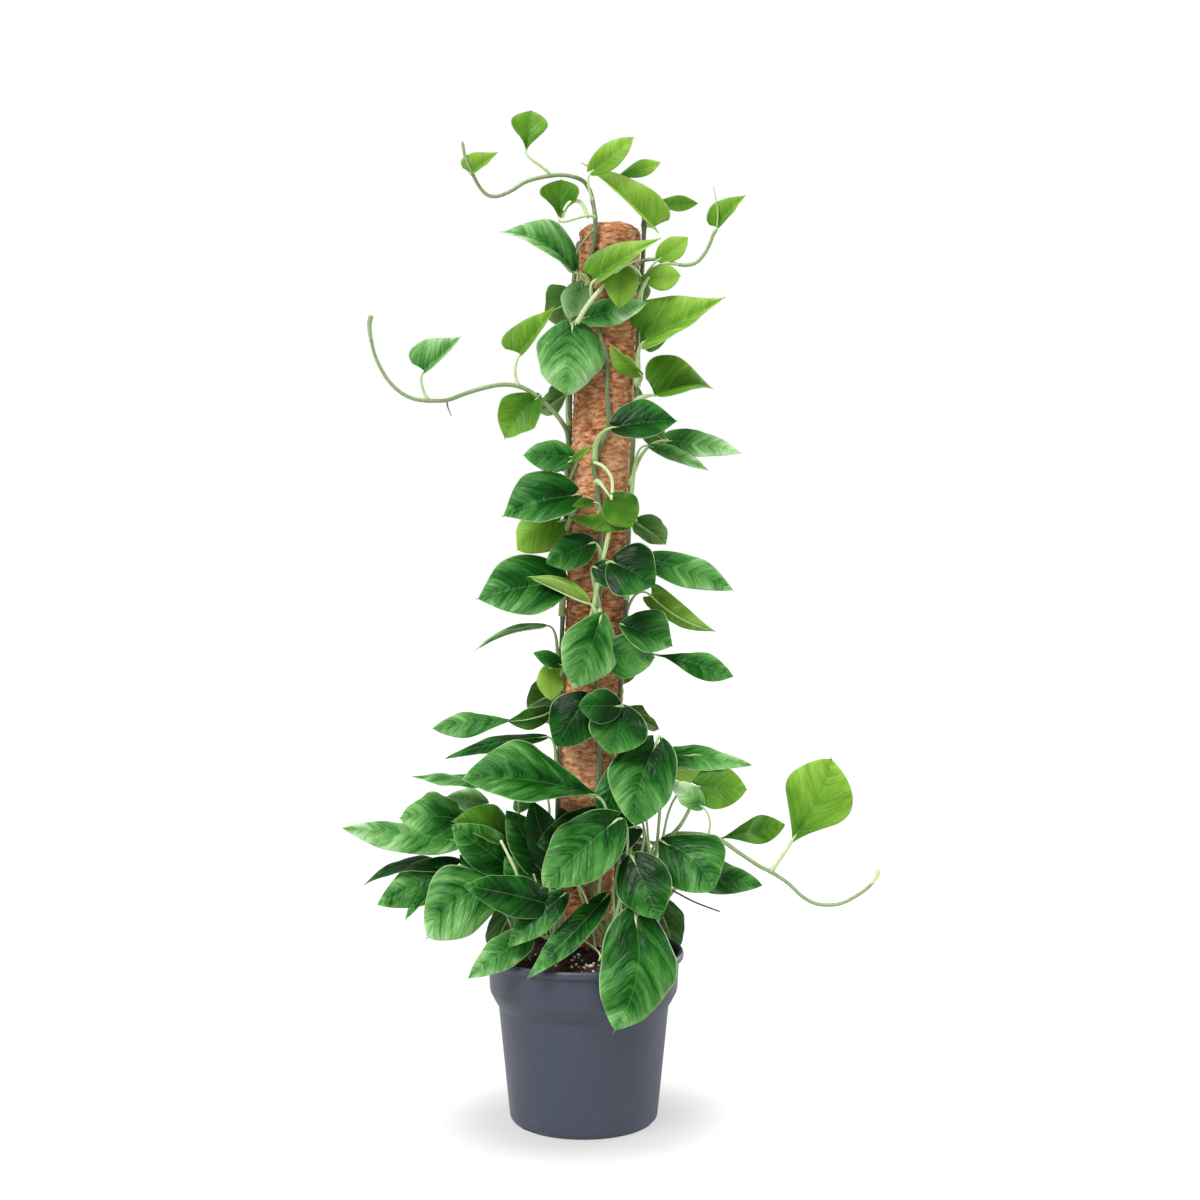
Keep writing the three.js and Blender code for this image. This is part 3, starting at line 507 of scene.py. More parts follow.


# The plant: five vines that cling to the pole and seven shoots from its foot, each one piece with its stem,
# its stalks and its leaves. The leaves are whole, as on a young plant, waxy above and matt below, with veins
# that leave the midrib at a slant and sink into the face, so that it bulges between them.

# The tones also paint light and shade: each was chosen from how light the leaf looks where it stands, so
# leaves deep in the bush are darker and some that lie in shade are lighter than their own colour.
# Places are read as seen from the camera, on the plane through the pole (y = 0), and then moved along the
# line of sight by a depth: below zero is nearer the camera.
# climb: height and angle round the pole, 0 at the front and 90 on the right.
# free: x, z and depth. stand: x and y where a shoot leaves the soil.
# leaves: the joint that each grows from (which point of the climb or stand, and then of free), the blade's
# base and tip (x, z and depth each), width, turn, fold, cup, arch, sweep, tone, and where along the blade it
# is widest if not at WIDEST. turn 0 shows the upper face, fold lifts both halves, cup bends them, arch and
# sweep bow the midrib, and tone runs from 0, the palest young leaf, over 2.5, the palest old one, to 5, the
# darkest.
# strands: single stalks and roots, each with its radius at both ends, its shade, and the x, z and depth of
# its points.
STEMS = {
    "front_vine": {
        "climb": [
            [150, 16], [260, 12], [350, 10], [440, 14], [505, 6], [575, 2], [650, 6], [690, 4], [735, -2],
            [787, -12], [825, 8], [905, 2], [955, -20], [1000, -38], [1040, -26],
        ],
        "free": [
            [14, 1072, -38], [11, 1092, -30], [8, 1104, -24], [0, 1116, -22], [-16, 1122, -24],
            [-30, 1123, -26], [-46, 1121, -28], [-68, 1115, -30], [-86, 1104, -32], [-103, 1098, -34],
            [-113, 1100, -35], [-121, 1108, -36], [-130, 1124, -37], [-138, 1142, -38], [-142, 1162, -38],
        ],
        "leaves": [
            [20.5, -67, 1152, -26, -61, 1199, -12, 44, 0, 16, -10, 0.05, 0, 1.6, 0.64],
            [27, -133, 1125, -38, -100, 1150, -30, 40, -46, 44, -10, -0.03, 0, 0.9, 0.24],
            [15, -28, 1072, -44, -26, 1119, -34, 50, -5, 16, 10, -0.05, 0, 1.9, 0.66],
            [13.3, -13, 1010, -46, -97, 1057, -70, 70, 55, 45, -30, 0.14, 0, 3.2],
            [16, 10, 1128, -38, 60, 1168, -34, 30, -10, 10, -10, 0.03, 0, 0.7],
            [12.6, 14, 1001, -56, 92, 1050, -50, 52, -46, 44, -20, 0.03, 0, 1, 0.2],
            [9.5, 37, 828, -62, 112, 835, -60, 62, -40, 35, -30, 0.04, 0, 4.4],
            [9, 33, 744, -62, 59, 709, -66, 44, 0, 5, -10, 0.05, -0.05, 2.1],
            [8.3, 54, 713, -60, -18, 722, -60, 21, 20, 5, -10, -0.08, 0, 1.8],
            [8, 12, 739, -64, -14, 734, -78, 13, 30, 10, 0, 0.1, 0, 2.4],
            [7, 8, 691, -54, -46, 666, -66, 42, 5, 10, -25, 0.06, 0, 4.2],
            [6.4, 36, 668, -58, 86, 640, -68, 76, -24, 25, -30, 0.06, 0, 4.6],
            [6, 15, 662, -54, 54, 642, -58, 32, -10, 8, -10, 0.04, 0, 4.2],
            [5.6, 4, 621, -56, -67, 652, -58, 34, 75, 60, -10, 0, 0, 0.7],
            [6, 20, 600, -54, -12, 516, -70, 68, -8, 8, -18, 0.08, 0, 3.3, 0.48],
            [4, 3, 505, -56, -34, 447, -64, 62, 10, 6, -20, 0.08, 0, 4.8],
        ],
        "strands": [
            [2.6, 2.2, 0.05, [-26, 1074, -40], [-16, 1091, -40], [-4, 1092, -40], [6, 1073, -38]],
            [
                1.5, 1.1, 0.6,
                [17, 1064, -38], [2, 1048, -40], [-8, 1032, -42], [-9, 1014, -43], [2, 998, -46],
            ],
            [2.2, 1.8, 0.15, [12, 787, -42], [24, 781, -48], [33, 768, -53], [34, 752, -58], [33, 742, -64]],
            [2.6, 2.4, 0.2, [30, 706, -54], [27, 690, -52], [23, 671, -50]],
            [2.6, 2.6, 0.25, [17, 644, -56], [13, 622, -50], [8, 600, -48]],
            [3.2, 1.6, 0.1, [-8, 950, -48], [4, 970, -54], [20, 990, -58], [43, 1014, -56], [66, 1026, -54]],
        ],
    },
    "right_vine": {
        "climb": [
            [150, 72], [260, 62], [350, 58], [440, 55], [515, 52], [550, 55], [600, 58], [650, 60],
            [700, 60], [750, 60], [790, 62], [856, 68], [895, 66], [952, 66], [985, 62], [1005, 58],
        ],
        "free": [
            [66, 1021, -20], [84, 1025, -22], [102, 1021, -24], [118, 1018, -25], [131, 1020, -26],
            [140, 1028, -27], [148, 1041, -28], [153, 1054, -29], [157, 1060, -30],
        ],
        "leaves": [
            [23.9, 157, 1062, -30, 191, 1100, -20, 42, -45, 44, -10, 0.02, 0, 1.2, 0.3],
            [14, 90, 1026, -30, 124, 1051, -20, 28, -10, 10, -10, 0.02, 0, 0.9],
            [15, 45, 1015, -52, 42, 966, -60, 40, -10, 10, -15, 0.1, 0, 1.1],
            [15, 66, 1001, -38, 116, 1006, -36, 32, -10, 5, -10, 0.03, 0, 0.9, 0.58],
            [12, 74, 930, -30, 167, 981, -44, 90, -47, 45, -20, -0.03, 0, 1, 0.18],
            [11.5, 83, 866, -22, 153, 873, 14, 86, -50, 46, -20, 0.12, 0, 1.5, 0.24],
            [12, 66, 892, -40, 31, 926, -52, 34, -50, 15, 10, 0.05, 0, 0.9],
            [9.7, 100, 812, -10, 188, 797, -14, 34, -20, 0, -10, 0, -0.04, 2.8, 0.3],
            [9, 80, 805, -26, 148, 777, -30, 22, -40, 10, -10, -0.02, -0.06, 3.2],
            [7, 76, 671, -28, 179, 634, -30, 44, -20, 5, -30, 0.05, -0.04, 3.3],
            [6, 47, 594, -46, 107, 568, -50, 66, -34, 30, -20, 0.04, 0, 4, 0.5],
            [5, 28, 558, -60, 87, 555, -62, 52, -5, 5, -15, 0.03, 0, 3.7],
            [5, 88, 558, -30, 179, 532, -34, 34, -15, 5, -20, 0.04, -0.02, 4.1, 0.62],
            [4, 42, 494, -70, 31, 437, -75, 70, 5, 8, -10, 0.06, -0.08, 4],
            [4, 40, 497, -76, -8, 497, -84, 42, 10, 5, -20, 0.06, 0, 4.7],
        ],
        "strands": [
            [1.4, 0.4, 0.3, [157, 1060, -30], [158, 1078, -31], [156, 1094, -32], [153, 1110, -33]],
            [
                2.8, 2.2, 0.1,
                [62, 976, -40], [72, 996, -38], [84, 1012, -34], [97, 1020, -30], [112, 1019, -26],
            ],
        ],
    },
    "left_vine": {
        "climb": [
            [150, -76], [260, -70], [350, -66], [440, -68], [500, -72], [545, -76], [600, -76], [655, -78],
            [700, -80], [770, -80], [811, -82],
        ],
        "free": [
            [-20, 824, -8], [-30, 840, -12], [-44, 855, -15], [-60, 868, -18], [-76, 876, -20],
            [-96, 878, -23], [-118, 874, -26], [-141, 867, -28], [-160, 860, -30], [-179, 859, -32],
            [-199, 861, -33], [-213, 867, -34], [-227, 879, -35], [-238, 895, -36], [-247, 916, -37],
            [-251, 938, -38], [-252, 958, -38],
        ],
        "leaves": [
            [20.2, -188, 894, -34, -144, 935, -30, 62, -47, 45, -10, -0.03, 0, 2.9, 0.24],
            [15, -75, 914, -22, -33, 971, -10, 58, -46, 44, -10, -0.03, 0, 1.2, 0.18],
            [13.5, -55, 862, -18, -94, 813, -34, 54, 15, 8, 15, 0.1, 0.05, 1.8, 0.5],
            [9, -14, 793, -30, -73, 795, -40, 40, 15, 12, -30, 0.06, 0, 3.6],
            [9.5, -14, 789, -38, 10, 806, -48, 9, 0, 10, 0, 0.1, 0, 1.5],
            [8, -10, 748, -48, -97, 722, -64, 84, 40, 34, -30, 0.07, 0, 4.2],
            [7.4, -28, 717, -14, -80, 681, -20, 56, 15, 5, -20, 0.08, 0.05, 1.2],
            [6.6, -27, 645, -32, -128, 624, -50, 84, 28, 26, -25, 0.06, 0, 4],
            [5, -48, 592, -20, -131, 562, -26, 26, 82, 15, 10, 0.08, 0, 3.2],
            [5, -28, 547, -28, -61, 561, -40, 20, 20, 8, 0, 0.04, 0, 3.7],
            [4.6, -40, 543, -16, -38, 502, -20, 34, -10, 5, -10, 0.06, 0, 0.7],
            [4, -42, 490, -20, -92, 479, -40, 30, 150, 8, -20, -0.1, 0, 4.9],
            [4, -84, 480, -10, -181, 470, -20, 34, 25, 0, -15, 0.04, 0, 3.6, 0.6],
            [3, -48, 460, -30, -166, 434, -60, 32, 55, 0, -10, 0.05, 0, 4.7],
        ],
        "strands": [
            [1.3, 0.4, 0.9, [-162, 861, -30], [-160, 851, -31], [-156, 841, -32]],
            [2.2, 3.2, 0.45, [-250, 929, -38], [-252, 942, -38], [-252, 951, -38], [-250, 959, -38]],
        ],
    },
    "back_left_vine": {
        "climb": [
            [150, -128], [300, -135], [450, -140], [600, -135], [720, -120], [830, -105], [900, -92],
            [950, -84], [1000, -96], [1048, -115],
        ],
        "leaves": [
            [7, -13, 945, -44, -20, 862, -58, 82, 0, 8, -30, 0.08, 0, 3.2],
            [7, 3, 957, -50, 76, 974, -52, 34, 5, 5, 20, -0.06, 0, 3.1],
            [8, -2, 994, -30, -20, 955, -20, 34, 10, 5, -10, 0.06, 0, 2.5],
        ],
        "behind": {"from": 432, "seed": 100},
    },
    "back_right_vine": {
        "climb": [
            [150, 135], [300, 140], [450, 138], [600, 130], [720, 128], [850, 125], [950, 118],
            [1020, 100], [1050, 80], [1077, 78],
        ],
        "leaves": [
            [9, 84, 1062, -10, -3, 1138, -26, 58, 47, 44, -10, 0.04, 0, 0.4, 0.18],
            [9, 39, 1120, -6, 91, 1138, 0, 21, -20, 5, -10, 0.03, 0, 1.4, 0.58],
            [9, 78, 1090, -4, 135, 1090, 4, 19, -10, 5, 0, 0, 0, 2, 0.6],
            [3, 80, 630, -10, 158, 586, -6, 36, -150, 10, 10, -0.08, -0.04, 1.4, 0.22],
        ],
        "behind": {"from": 458, "seed": 200},
    },
    "front_shoot": {
        "stand": [26, -66],
        "leaves": [
            [1, 26, 268, -70, -69, 168, -128, 36, 25, 10, -10, 0.03, -0.03, 4.2],
            [1, 62, 240, -98, 34, 101, -134, 90, -5, 6, -22, 0.1, -0.1, 3.8],
            [1, 36, 358, -80, -52, 277, -128, 76, 10, 8, -20, 0.04, 0, 3.8],
            [1, 60, 312, -84, 91, 239, -118, 66, 5, 8, -20, 0.05, 0, 4.6],
            [1, 58, 352, -58, -60, 330, -70, 70, 12, 6, -15, 0.04, 0, 5],
            [1, 8, 391, -66, -149, 409, -96, 100, 44, 33, -25, 0.08, 0, 4.1, 0.58],
            [1, -8, 286, -50, -28, 378, -40, 50, 15, 8, -20, 0.06, 0, 4.8],
        ],
        "strands": [
            [1.4, 1.1, 0.1, [-6, 222, -78], [4, 213, -84], [13, 206, -88], [20, 197, -92], [18, 190, -94]],
            [2.0, 1.6, 0.3, [34, 206, -74], [37, 240, -76], [36, 275, -74], [42, 310, -70]],
            [1.8, 1.4, 0.2, [44, 204, -70], [47, 235, -72], [44, 262, -76], [50, 300, -72]],
            [1.6, 1.3, 0.15, [14, 205, -72], [10, 235, -74], [4, 262, -76], [-6, 284, -70]],
            [1.7, 1.3, 0.25, [52, 204, -60], [58, 240, -62], [58, 280, -60], [60, 322, -56]],
        ],
    },
    "front_left_shoot": {
        "stand": [-32, -60],
        "leaves": [
            [1, -25, 270, -84, -92, 206, -112, 40, 20, 8, -15, 0.04, 0, 3.9],
            [1, -38, 258, -84, -146, 282, -140, 50, 15, 8, -25, 0.06, 0, 4.5],
            [1, -70, 218, -80, -140, 168, -108, 42, 20, 10, -10, 0.04, 0, 3.5, 0.34],
            [1, -46, 296, -52, -94, 374, -46, 50, 20, 10, -20, 0.08, 0, 4.4],
            [1, -34, 300, -60, -62, 386, -46, 48, -15, 10, -20, 0.08, 0, 5],
            [1, -52, 262, -56, -96, 318, -64, 44, 10, 8, -20, 0.06, 0, 4.2],
        ],
        "strands": [
            [2.2, 1.7, 0.05, [-74, 270, -76], [-80, 296, -86], [-90, 318, -92], [-99, 336, -94]],
            [1.5, 1.2, 0.3, [-40, 206, -66], [-48, 240, -70], [-52, 270, -66], [-60, 296, -60]],
            [1.5, 1.2, 0.2, [-24, 205, -64], [-22, 240, -68], [-30, 272, -64], [-34, 300, -60]],
        ],
    },
    "left_shoot": {
        "stand": [-74, -14],
        "leaves": [
            [1, -86, 278, -60, -190, 213, -96, 84, 8, 6, -20, 0.06, 0.18, 3.5, 0.55],
            [1, -88, 303, -50, -160, 356, -70, 52, 5, 8, -20, 0.05, 0, 4.1],
            [1, -90, 336, -30, -159, 359, -44, 64, 45, 35, -20, 0.1, 0, 2.4],
            [1, -152, 304, -30, -249, 257, -50, 52, 10, 5, -15, 0.05, 0, 3.9],
            [1, -150, 296, -20, -264, 281, -30, 36, 60, 12, -20, 0.19, 0, 4.8],
            [1, -164, 298, -40, -214, 240, -60, 28, 50, 12, 0, 0.04, 0, 4.4],
            [1, -150, 336, -30, -290, 351, -60, 50, 40, -6, -10, 0, 0, 3],
            [1, -148, 362, -10, -222, 362, -20, 66, 25, 15, -30, 0.1, 0, 3.6],
            [1, -100, 408, -20, -206, 413, -24, 38, 65, 0, -10, 0, 0, 3.6],
            [1, -118, 380, 10, -164, 389, 6, 36, 35, 8, -20, 0.06, 0, 2.9],
            [1, -86, 300, -26, -124, 372, -14, 52, 15, 8, -20, 0.06, 0, 5],
            [1, -96, 270, -30, -150, 320, -24, 46, 10, 8, -20, 0.06, 0, 4.8],
        ],
    },
    "right_shoot": {
        "free": [
            [96, 338, -24], [130, 344, -30], [160, 338, -34], [186, 321, -38], [210, 305, -42],
            [224, 298, -44], [245, 284, -46], [262, 268, -48], [277, 260, -50], [292, 258, -52],
            [308, 260, -53], [326, 269, -54], [340, 279, -55], [348, 288, -56],
        ],
        "stand": [70, -22],
        "leaves": [
            [7, 252, 342, -46, 296, 438, -52, 82, 0, 8, -10, 0.04, 0.06, 1.2, 0.58],
            [1, 97, 332, -60, 156, 272, -104, 82, -12, 8, -25, 0.06, -0.12, 4.2, 0.5],
            [1, 118, 298, -30, 216, 281, -40, 50, -35, 5, -20, 0.06, 0, 4.1],
            [1, 165, 339, -24, 242, 355, -30, 34, -10, 5, -10, 0.03, 0, 2.2, 0.62],
            [1, 136, 401, -40, 197, 397, -50, 52, -10, 5, -10, 0.04, 0, 1.9],
            [1, 140, 378, -50, 103, 407, -60, 28, 10, 5, 10, 0.05, 0, 2.7],
            [1, 88, 440, -20, 202, 426, -30, 40, -45, 5, -15, 0.03, 0, 3.5],
            [1, 103, 424, -10, 168, 424, -20, 40, -150, 5, -10, -0.05, 0, 0],
            [1, 86, 450, -50, 61, 349, -90, 80, 0, 8, -20, 0.05, 0.06, 3.8],
            [1, 46, 424, -46, 22, 352, -56, 42, 0, 8, -20, 0.05, 0, 4.2],
            [1, 70, 296, -24, 94, 240, -36, 42, -20, 8, -20, 0.08, 0, 4.7],
        ],
        "strands": [
            [
                1.5, 0.9, 1.0,
                [70, 256, -24], [88, 282, -36], [105, 276, -42], [132, 262, -46], [163, 250, -50],
            ],
            [2.6, 2.0, 0.2, [104, 341, -25], [116, 355, -34], [126, 373, -42], [133, 388, -48]],
            [1.3, 2.6, 0.1, [340, 279, -55], [346, 286, -56], [351, 294, -56], [353, 301, -57]],
        ],
    },
    "back_left_shoot": {
        "stand": [-45, 55],
        "fan": {"angle": -134, "seed": 360},
    },
    "back_shoot": {
        "stand": [0, 72],
        "fan": {"angle": 180, "seed": 420},
    },
    "back_right_shoot": {
        "stand": [46, 57],
        "fan": {"angle": 138, "seed": 520},
    },
}

# Stems. A shoot's stem starts in the mix at foot, and its stalks leave it at crown. A vine's axis keeps
# from_pole off the coir. Stems swell at their joints, and thin out over the last stretch of a free end.
STEM = {"radius": 2.8, "sides": 10, "foot": 150, "crown": 242, "from_pole": 4.6, "swell": 0.14, "joint": 4}
TAPER = {"over": 330, "tip": 0.68}
STEPS = {"climb": 42, "stem": 5, "strand": 4}
# Stalks. They are thicker under a wide leaf and thin towards it, and on a vine a sheath wraps their foot.
# In a shoot's crown they start below and beside one another, and on a vine sooner than their leaf's joint.
STALK = {
    "thin": 1.3, "per_width": 0.011, "taper": 0.75, "sheath": 1.8, "sides": 8,
    "below": 0.1, "beside": 2.6, "sooner": 0.5,
}
# Blades. The lobes reach back beside the stalk by LOBE of the length, the face bulges between the veins by
# QUILT of the width, and CUPPED strengthens every cup. From the tone OLD on a leaf has an old one's colours.
WIDEST = 0.42
LOBE = 0.055
BLADE_THICKNESS = 0.55
QUILT = 0.009
CUPPED = 1.35
OLD = 2.5
# A blade's points stand a row and a column apart, within the numbers given for its rows and columns.
BLADE_MESH = {"row": 1.7, "rows": (26, 76), "column": 4.6, "columns": (6, 12)}
# Leaves shorter than this have finer streaks.
STREAKED_FROM = 80
# The leaves that the camera can't see follow two rules. Behind the pole, they grow one rise above another
# up to top, on both sides of the back. On the shoots at the back, they fan out round the pot in layers.
BEHIND = {"angle": 141, "rise": 58, "top": 1010, "cup": -20, "arch": 0.06}
FAN = {"leaves": 5, "layers": 3, "spread": 7, "base_step": 62, "tip_step": 95, "cup": -20, "arch": 0.1}


def draw(number):
    """A value from 0 to 1 that depends only on the number."""
    value = math.sin(number * 12.9898) * 43758.5453
    return value - math.floor(value)


def vary(number, low, high):
    """A value from low to high that depends only on the number."""
    return low + (high - low) * draw(number)


def seen(x, z, depth):
    """The point that the camera sees at x and z on the plane through the pole, moved away by depth."""
    return EYE + (np.array([x, 0, z]) - EYE) * (1 + depth / -EYE[1])


def around(angle, sideways, z, out):
    """A point round the pole: out from its axis at an angle, and then sideways, to the right from there."""
    a = math.radians(angle)
    x = axis_x(z) + out * math.sin(a) + sideways * math.cos(a)
    return np.array([x, -out * math.cos(a) + sideways * math.sin(a), z])


def unit(vector):
    """The vector's direction, with a length of one."""
    return vector / np.linalg.norm(vector)


def leaf_of(base, tip, eye, shape, seed):
    """A leaf's frame and form: along is the way from base to tip, face points out of its upper side, and
    side to the right on that way. round is 1 on a broad, open leaf and 0 on a narrow one."""
    width, turn, fold, cup, arch, sweep, tone, *peak = shape
    peak = peak[0] if peak else WIDEST
    length = np.linalg.norm(tip - base)
    number = draw(seed)
    along = unit(tip - base)
    view = unit(eye - base)
    face = unit(view - along * (view @ along))
    turn = math.radians(turn)
    face = face * math.cos(turn) + np.cross(along, face) * math.sin(turn)
    return SimpleNamespace(
        base=base,
        along=along,
        face=face,
        side=np.cross(along, face),
        length=length,
        width=width,
        fold=math.radians(fold),
        cup=math.radians(CUPPED * cup) or 1e-4,
        arch=arch,
        sweep=sweep,
        tone=tone,
        folded=fold / 45,
        round=np.clip(2.5 * (width / length - 0.28), 0, 1) * (1 - fold / 60),
        swell=math.log(0.5) / math.log(peak),
        taper=max(0.45, 0.55 + 3 * (peak - 0.4)),
        seed=seed,
        number=number,
        veins=5.5 + 0.02 * length + 2 * number,
    )


def bladed(leaf, t, s):
    """The blade's upper face without its veins, and how far from the midrib each point is, as a share of the
    length. t runs from base to tip, and s from the left edge, -1, to the right one, 1."""
    # Half the width is a hump that peaks where the leaf is widest, with a full end on a round leaf.
    body = np.clip(t / (1 - 0.05 * leaf.round), 1e-6, 1 - 1e-6)
    power = leaf.taper + (0.95 - 0.3 * leaf.round + 0.2 * leaf.folded - leaf.taper) * body
    half = leaf.width / 2 * np.sin(math.pi * body**leaf.swell) ** power
    half *= 1 + 0.015 * np.sin(13 * t + 9 * leaf.number + np.sign(s))
    half = (half**3 + (0.3 * leaf.width * leaf.round * (1 - t) * t**8) ** 3) ** (1 / 3)
    # Each half is an arc that leaves the midrib at the fold and bends on by the cup.
    q = np.abs(s)
    bend = leaf.fold + leaf.cup * q
    across = half / leaf.cup * (np.sin(bend) - math.sin(leaf.fold)) * np.sign(s)
    lift = half / leaf.cup * (math.cos(leaf.fold) - np.cos(bend))
    lobe = LOBE * (1 + 1.4 * leaf.round) * leaf.length * q**1.5 * (1 - t) ** 4
    bow = 4 * t * (1 - t) * leaf.length
    ahead = leaf.length * t - lobe
    points = leaf.base + ahead[..., None] * leaf.along
    points = points + (bow * leaf.arch + lift)[..., None] * leaf.face
    return points + (across + bow * leaf.sweep)[..., None] * leaf.side, half * s / leaf.length


def vein_phase(leaf, t, s, across):
    """A number that is whole on each side vein: they slant forward, wander, and alternate left and right."""
    slant = np.abs(across)
    even = (t - 0.8 * slant - 1.1 * slant**2) * leaf.veins + 0.4 * (s > 0)
    a, b, c = (7 * draw(leaf.seed + i / 10) for i in (3, 4, 5))
    wander = 0.25 * np.sin(1.7 * even + a) + 0.12 * np.sin(3.9 * even + b)
    return even + wander + 0.1 * np.sin(5 * s + 0.6 * even + c)


def relief(leaf, t, s, across):
    """How far the face stands out: it bulges between sunk veins, and its edge is gently waved."""
    q = np.abs(s)
    a, b, c = (draw(leaf.seed + i / 10) for i in (1, 2, 6))
    bulge = np.abs(np.sin(math.pi * vein_phase(leaf, t, s, across)))
    bulge *= np.clip(4 * q, 0, 1) * np.clip(2 * (1 - q), 0, 1) * (0.6 + 0.6 * np.sin(7 * t + 4 * s + 9 * c))
    groove = np.exp(-((across * leaf.length / 1.8) ** 2)) * (1 - t)
    turns = t * (1.2 + 1.3 * a) + b
    wave = np.sin(2 * math.pi * turns + np.sign(s) * 1.3) + 0.2 * np.sin(2 * math.pi * 2.7 * turns + 2 * s)
    ripple = 0.04 * math.cos(leaf.fold) ** 4 * wave * q**2 * np.sin(math.pi * t)
    return leaf.width * (QUILT * bulge - 0.01 * groove + ripple)


def leaf_skin(leaf):
    """The blade as one closed skin: points, faces, the finish of each face, and the marks of each point."""
    rows = int(np.clip(leaf.length / BLADE_MESH["row"], *BLADE_MESH["rows"]))
    columns = 2 * int(np.clip(leaf.width / BLADE_MESH["column"], *BLADE_MESH["columns"])) + 1
    u = np.linspace(0, 1, rows)
    t = 0.004 + 0.992 * (0.6 * u + 0.4 * (1 - np.cos(math.pi * u)) / 2)
    s = np.linspace(-1, 1, columns)
    s = np.sign(s) * np.abs(s) ** 0.85
    t, s = np.meshgrid(t, s, indexing="ij")
    smooth, across = bladed(leaf, t, s)
    up = np.cross(np.gradient(smooth, axis=1), np.gradient(smooth, axis=0))
    up /= np.linalg.norm(up, axis=2, keepdims=True) + 1e-12
    upper = smooth + up * relief(leaf, t, s, across)[..., None]
    thickness = BLADE_THICKNESS * (0.55 + 0.45 * np.sqrt(1 - np.abs(s) ** 3))
    lower = upper - up * thickness[..., None]
    points = np.vstack([upper.reshape(-1, 3), lower.reshape(-1, 3)])

    size = rows * columns
    top = lattice(rows, columns)
    under = [tuple(size + i for i in reversed(face)) for face in top]
    edge = list(range(columns))
    edge += [i * columns + columns - 1 for i in range(1, rows)]
    edge += [size - 1 - j for j in range(1, columns)]
    edge += [i * columns for i in range(rows - 2, 0, -1)]
    rim = [(b, a, a + size, b + size) for a, b in zip(edge, edge[1:] + edge[:1])]
    finishes = [0] * len(top) + [1] * len(under) + [0] * len(rim)

    old = leaf.tone >= OLD
    dark = 0.12 + 0.34 * (leaf.tone - OLD) if old else 0.08 + 0.3 * leaf.tone
    vein = vein_phase(leaf, t, s, across)
    streaked = leaf.length * min(1, (leaf.length / STREAKED_FROM) ** 2) * MM
    grain = [across * streaked, vein * streaked / leaf.veins, np.full_like(t, leaf.number)]
    marks = [[s, vein, across], [np.full_like(t, dark), np.full_like(t, old), t], grain]
    marks = [np.tile(np.stack(mark, axis=2).reshape(-1, 3), (2, 1)) for mark in marks]
    return points, top + under + rim, finishes, marks


def stalk_run(start, leaf, climbing):
    """The points and radii of a stalk. It leaves the stem upwards and outwards, comes into the blade and
    runs on under it as the midrib."""
    reach = np.linalg.norm(leaf.base - start)
    out = start - (axis_x(start[2]), 0, 0) if start[2] > STEM["crown"] else leaf.base - start
    out = unit(out * (1, 1, 0))
    hugs = climbing and leaf.base[2] > start[2] + 0.5 * reach
    upwards, outwards = (0.5, 0.08) if hugs else (0.3, 0.2)
    rise = start + (0, 0, upwards * reach) + outwards * reach * out
    arrive = leaf.base - 0.3 * reach * leaf.along
    u = np.linspace(0, 1, 7 + int(reach / 9))[:, None]
    stalk = (1 - u) ** 3 * start + 3 * u * (1 - u) ** 2 * rise
    stalk = stalk + 3 * u * u * (1 - u) * arrive + u**3 * leaf.base
    foot = STALK["thin"] + leaf.width * STALK["per_width"]
    sheath = 1 + (STALK["sheath"] - 1) * np.clip(1.6 - 2 * u[:, 0], 0, 1) if climbing else 1
    radii = foot * (1 + (STALK["taper"] - 1) * u[:, 0]) * sheath
    radii[:3] *= (1.35, 1.2, 1.08)
    t = np.linspace(0.03, 0.9, 18)
    middle = np.zeros_like(t)
    rib, across = bladed(leaf, t, middle)
    rib_radii = radii[-1] * (1 - t) ** 0.9 + 0.2
    sunk = BLADE_THICKNESS + np.minimum(0.95, 0.3 + 4 * t) * rib_radii - relief(leaf, t, middle, across)
    up = np.cross(leaf.side, np.gradient(rib, axis=0))
    up /= np.linalg.norm(up, axis=1, keepdims=True)
    rib = rib - up * sunk[:, None]
    return np.vstack([stalk[:-1], rib]), np.concatenate([radii[:-1], rib_radii])


def path_of(stem):
    """The points that a stem's joints count: its climb or its stand, and then its free stretch."""
    out = POLE_RADIUS + STEM["from_pole"]
    path = [around(angle, 0, z, out) for z, angle in stem.get("climb", [])]
    if "stand" in stem:
        path += [np.array([*stem["stand"], z], float) for z in (STEM["foot"], STEM["crown"])]
    return path + [seen(*point) for point in stem.get("free", [])]


def run_of(stem):
    """The same path with enough points on its climb to stay clear of the pole."""
    path, climb, run = path_of(stem), stem.get("climb", []), []
    out = POLE_RADIUS + STEM["from_pole"]
    for (low, start), (high, end) in zip(climb, climb[1:]):
        parts = math.ceil((high - low) / STEPS["climb"])
        for k in range(parts):
            u = k / parts
            run.append(around(start + (end - start) * u, 0, low + (high - low) * u, out))
    return run + path[max(len(climb) - 1, 0) :]


def smoothed(points, step):
    """A smooth curve through the points, as closely spaced points."""
    points = [2 * points[0] - points[1], *points, 2 * points[-1] - points[-2]]
    curve = []
    for a, b, c, d in zip(points, points[1:], points[2:], points[3:]):
        ab, bc, cd = (np.linalg.norm(q - p) ** 0.5 for p, q in ((a, b), (b, c), (c, d)))
        leave = bc * ((b - a) / ab - (c - a) / (ab + bc) + (c - b) / bc)
        arrive = bc * ((c - b) / bc - (d - b) / (bc + cd) + (d - c) / cd)
        parts = math.ceil(np.linalg.norm(c - b) / step)
        u = np.linspace(0, 1, parts, endpoint=False)[:, None]
        cubic = (2 * b - 2 * c + leave + arrive) * u**3 + (-3 * b + 3 * c - 2 * leave - arrive) * u**2
        curve.append(cubic + leave * u + b)
    return np.vstack([*curve, points[-2]])


def point_on(path, joint):
    """The point of a path at a joint, which may lie part of the way to the next one."""
    i = min(int(joint), len(path) - 2)
    return path[i] + (path[i + 1] - path[i]) * (joint - i)


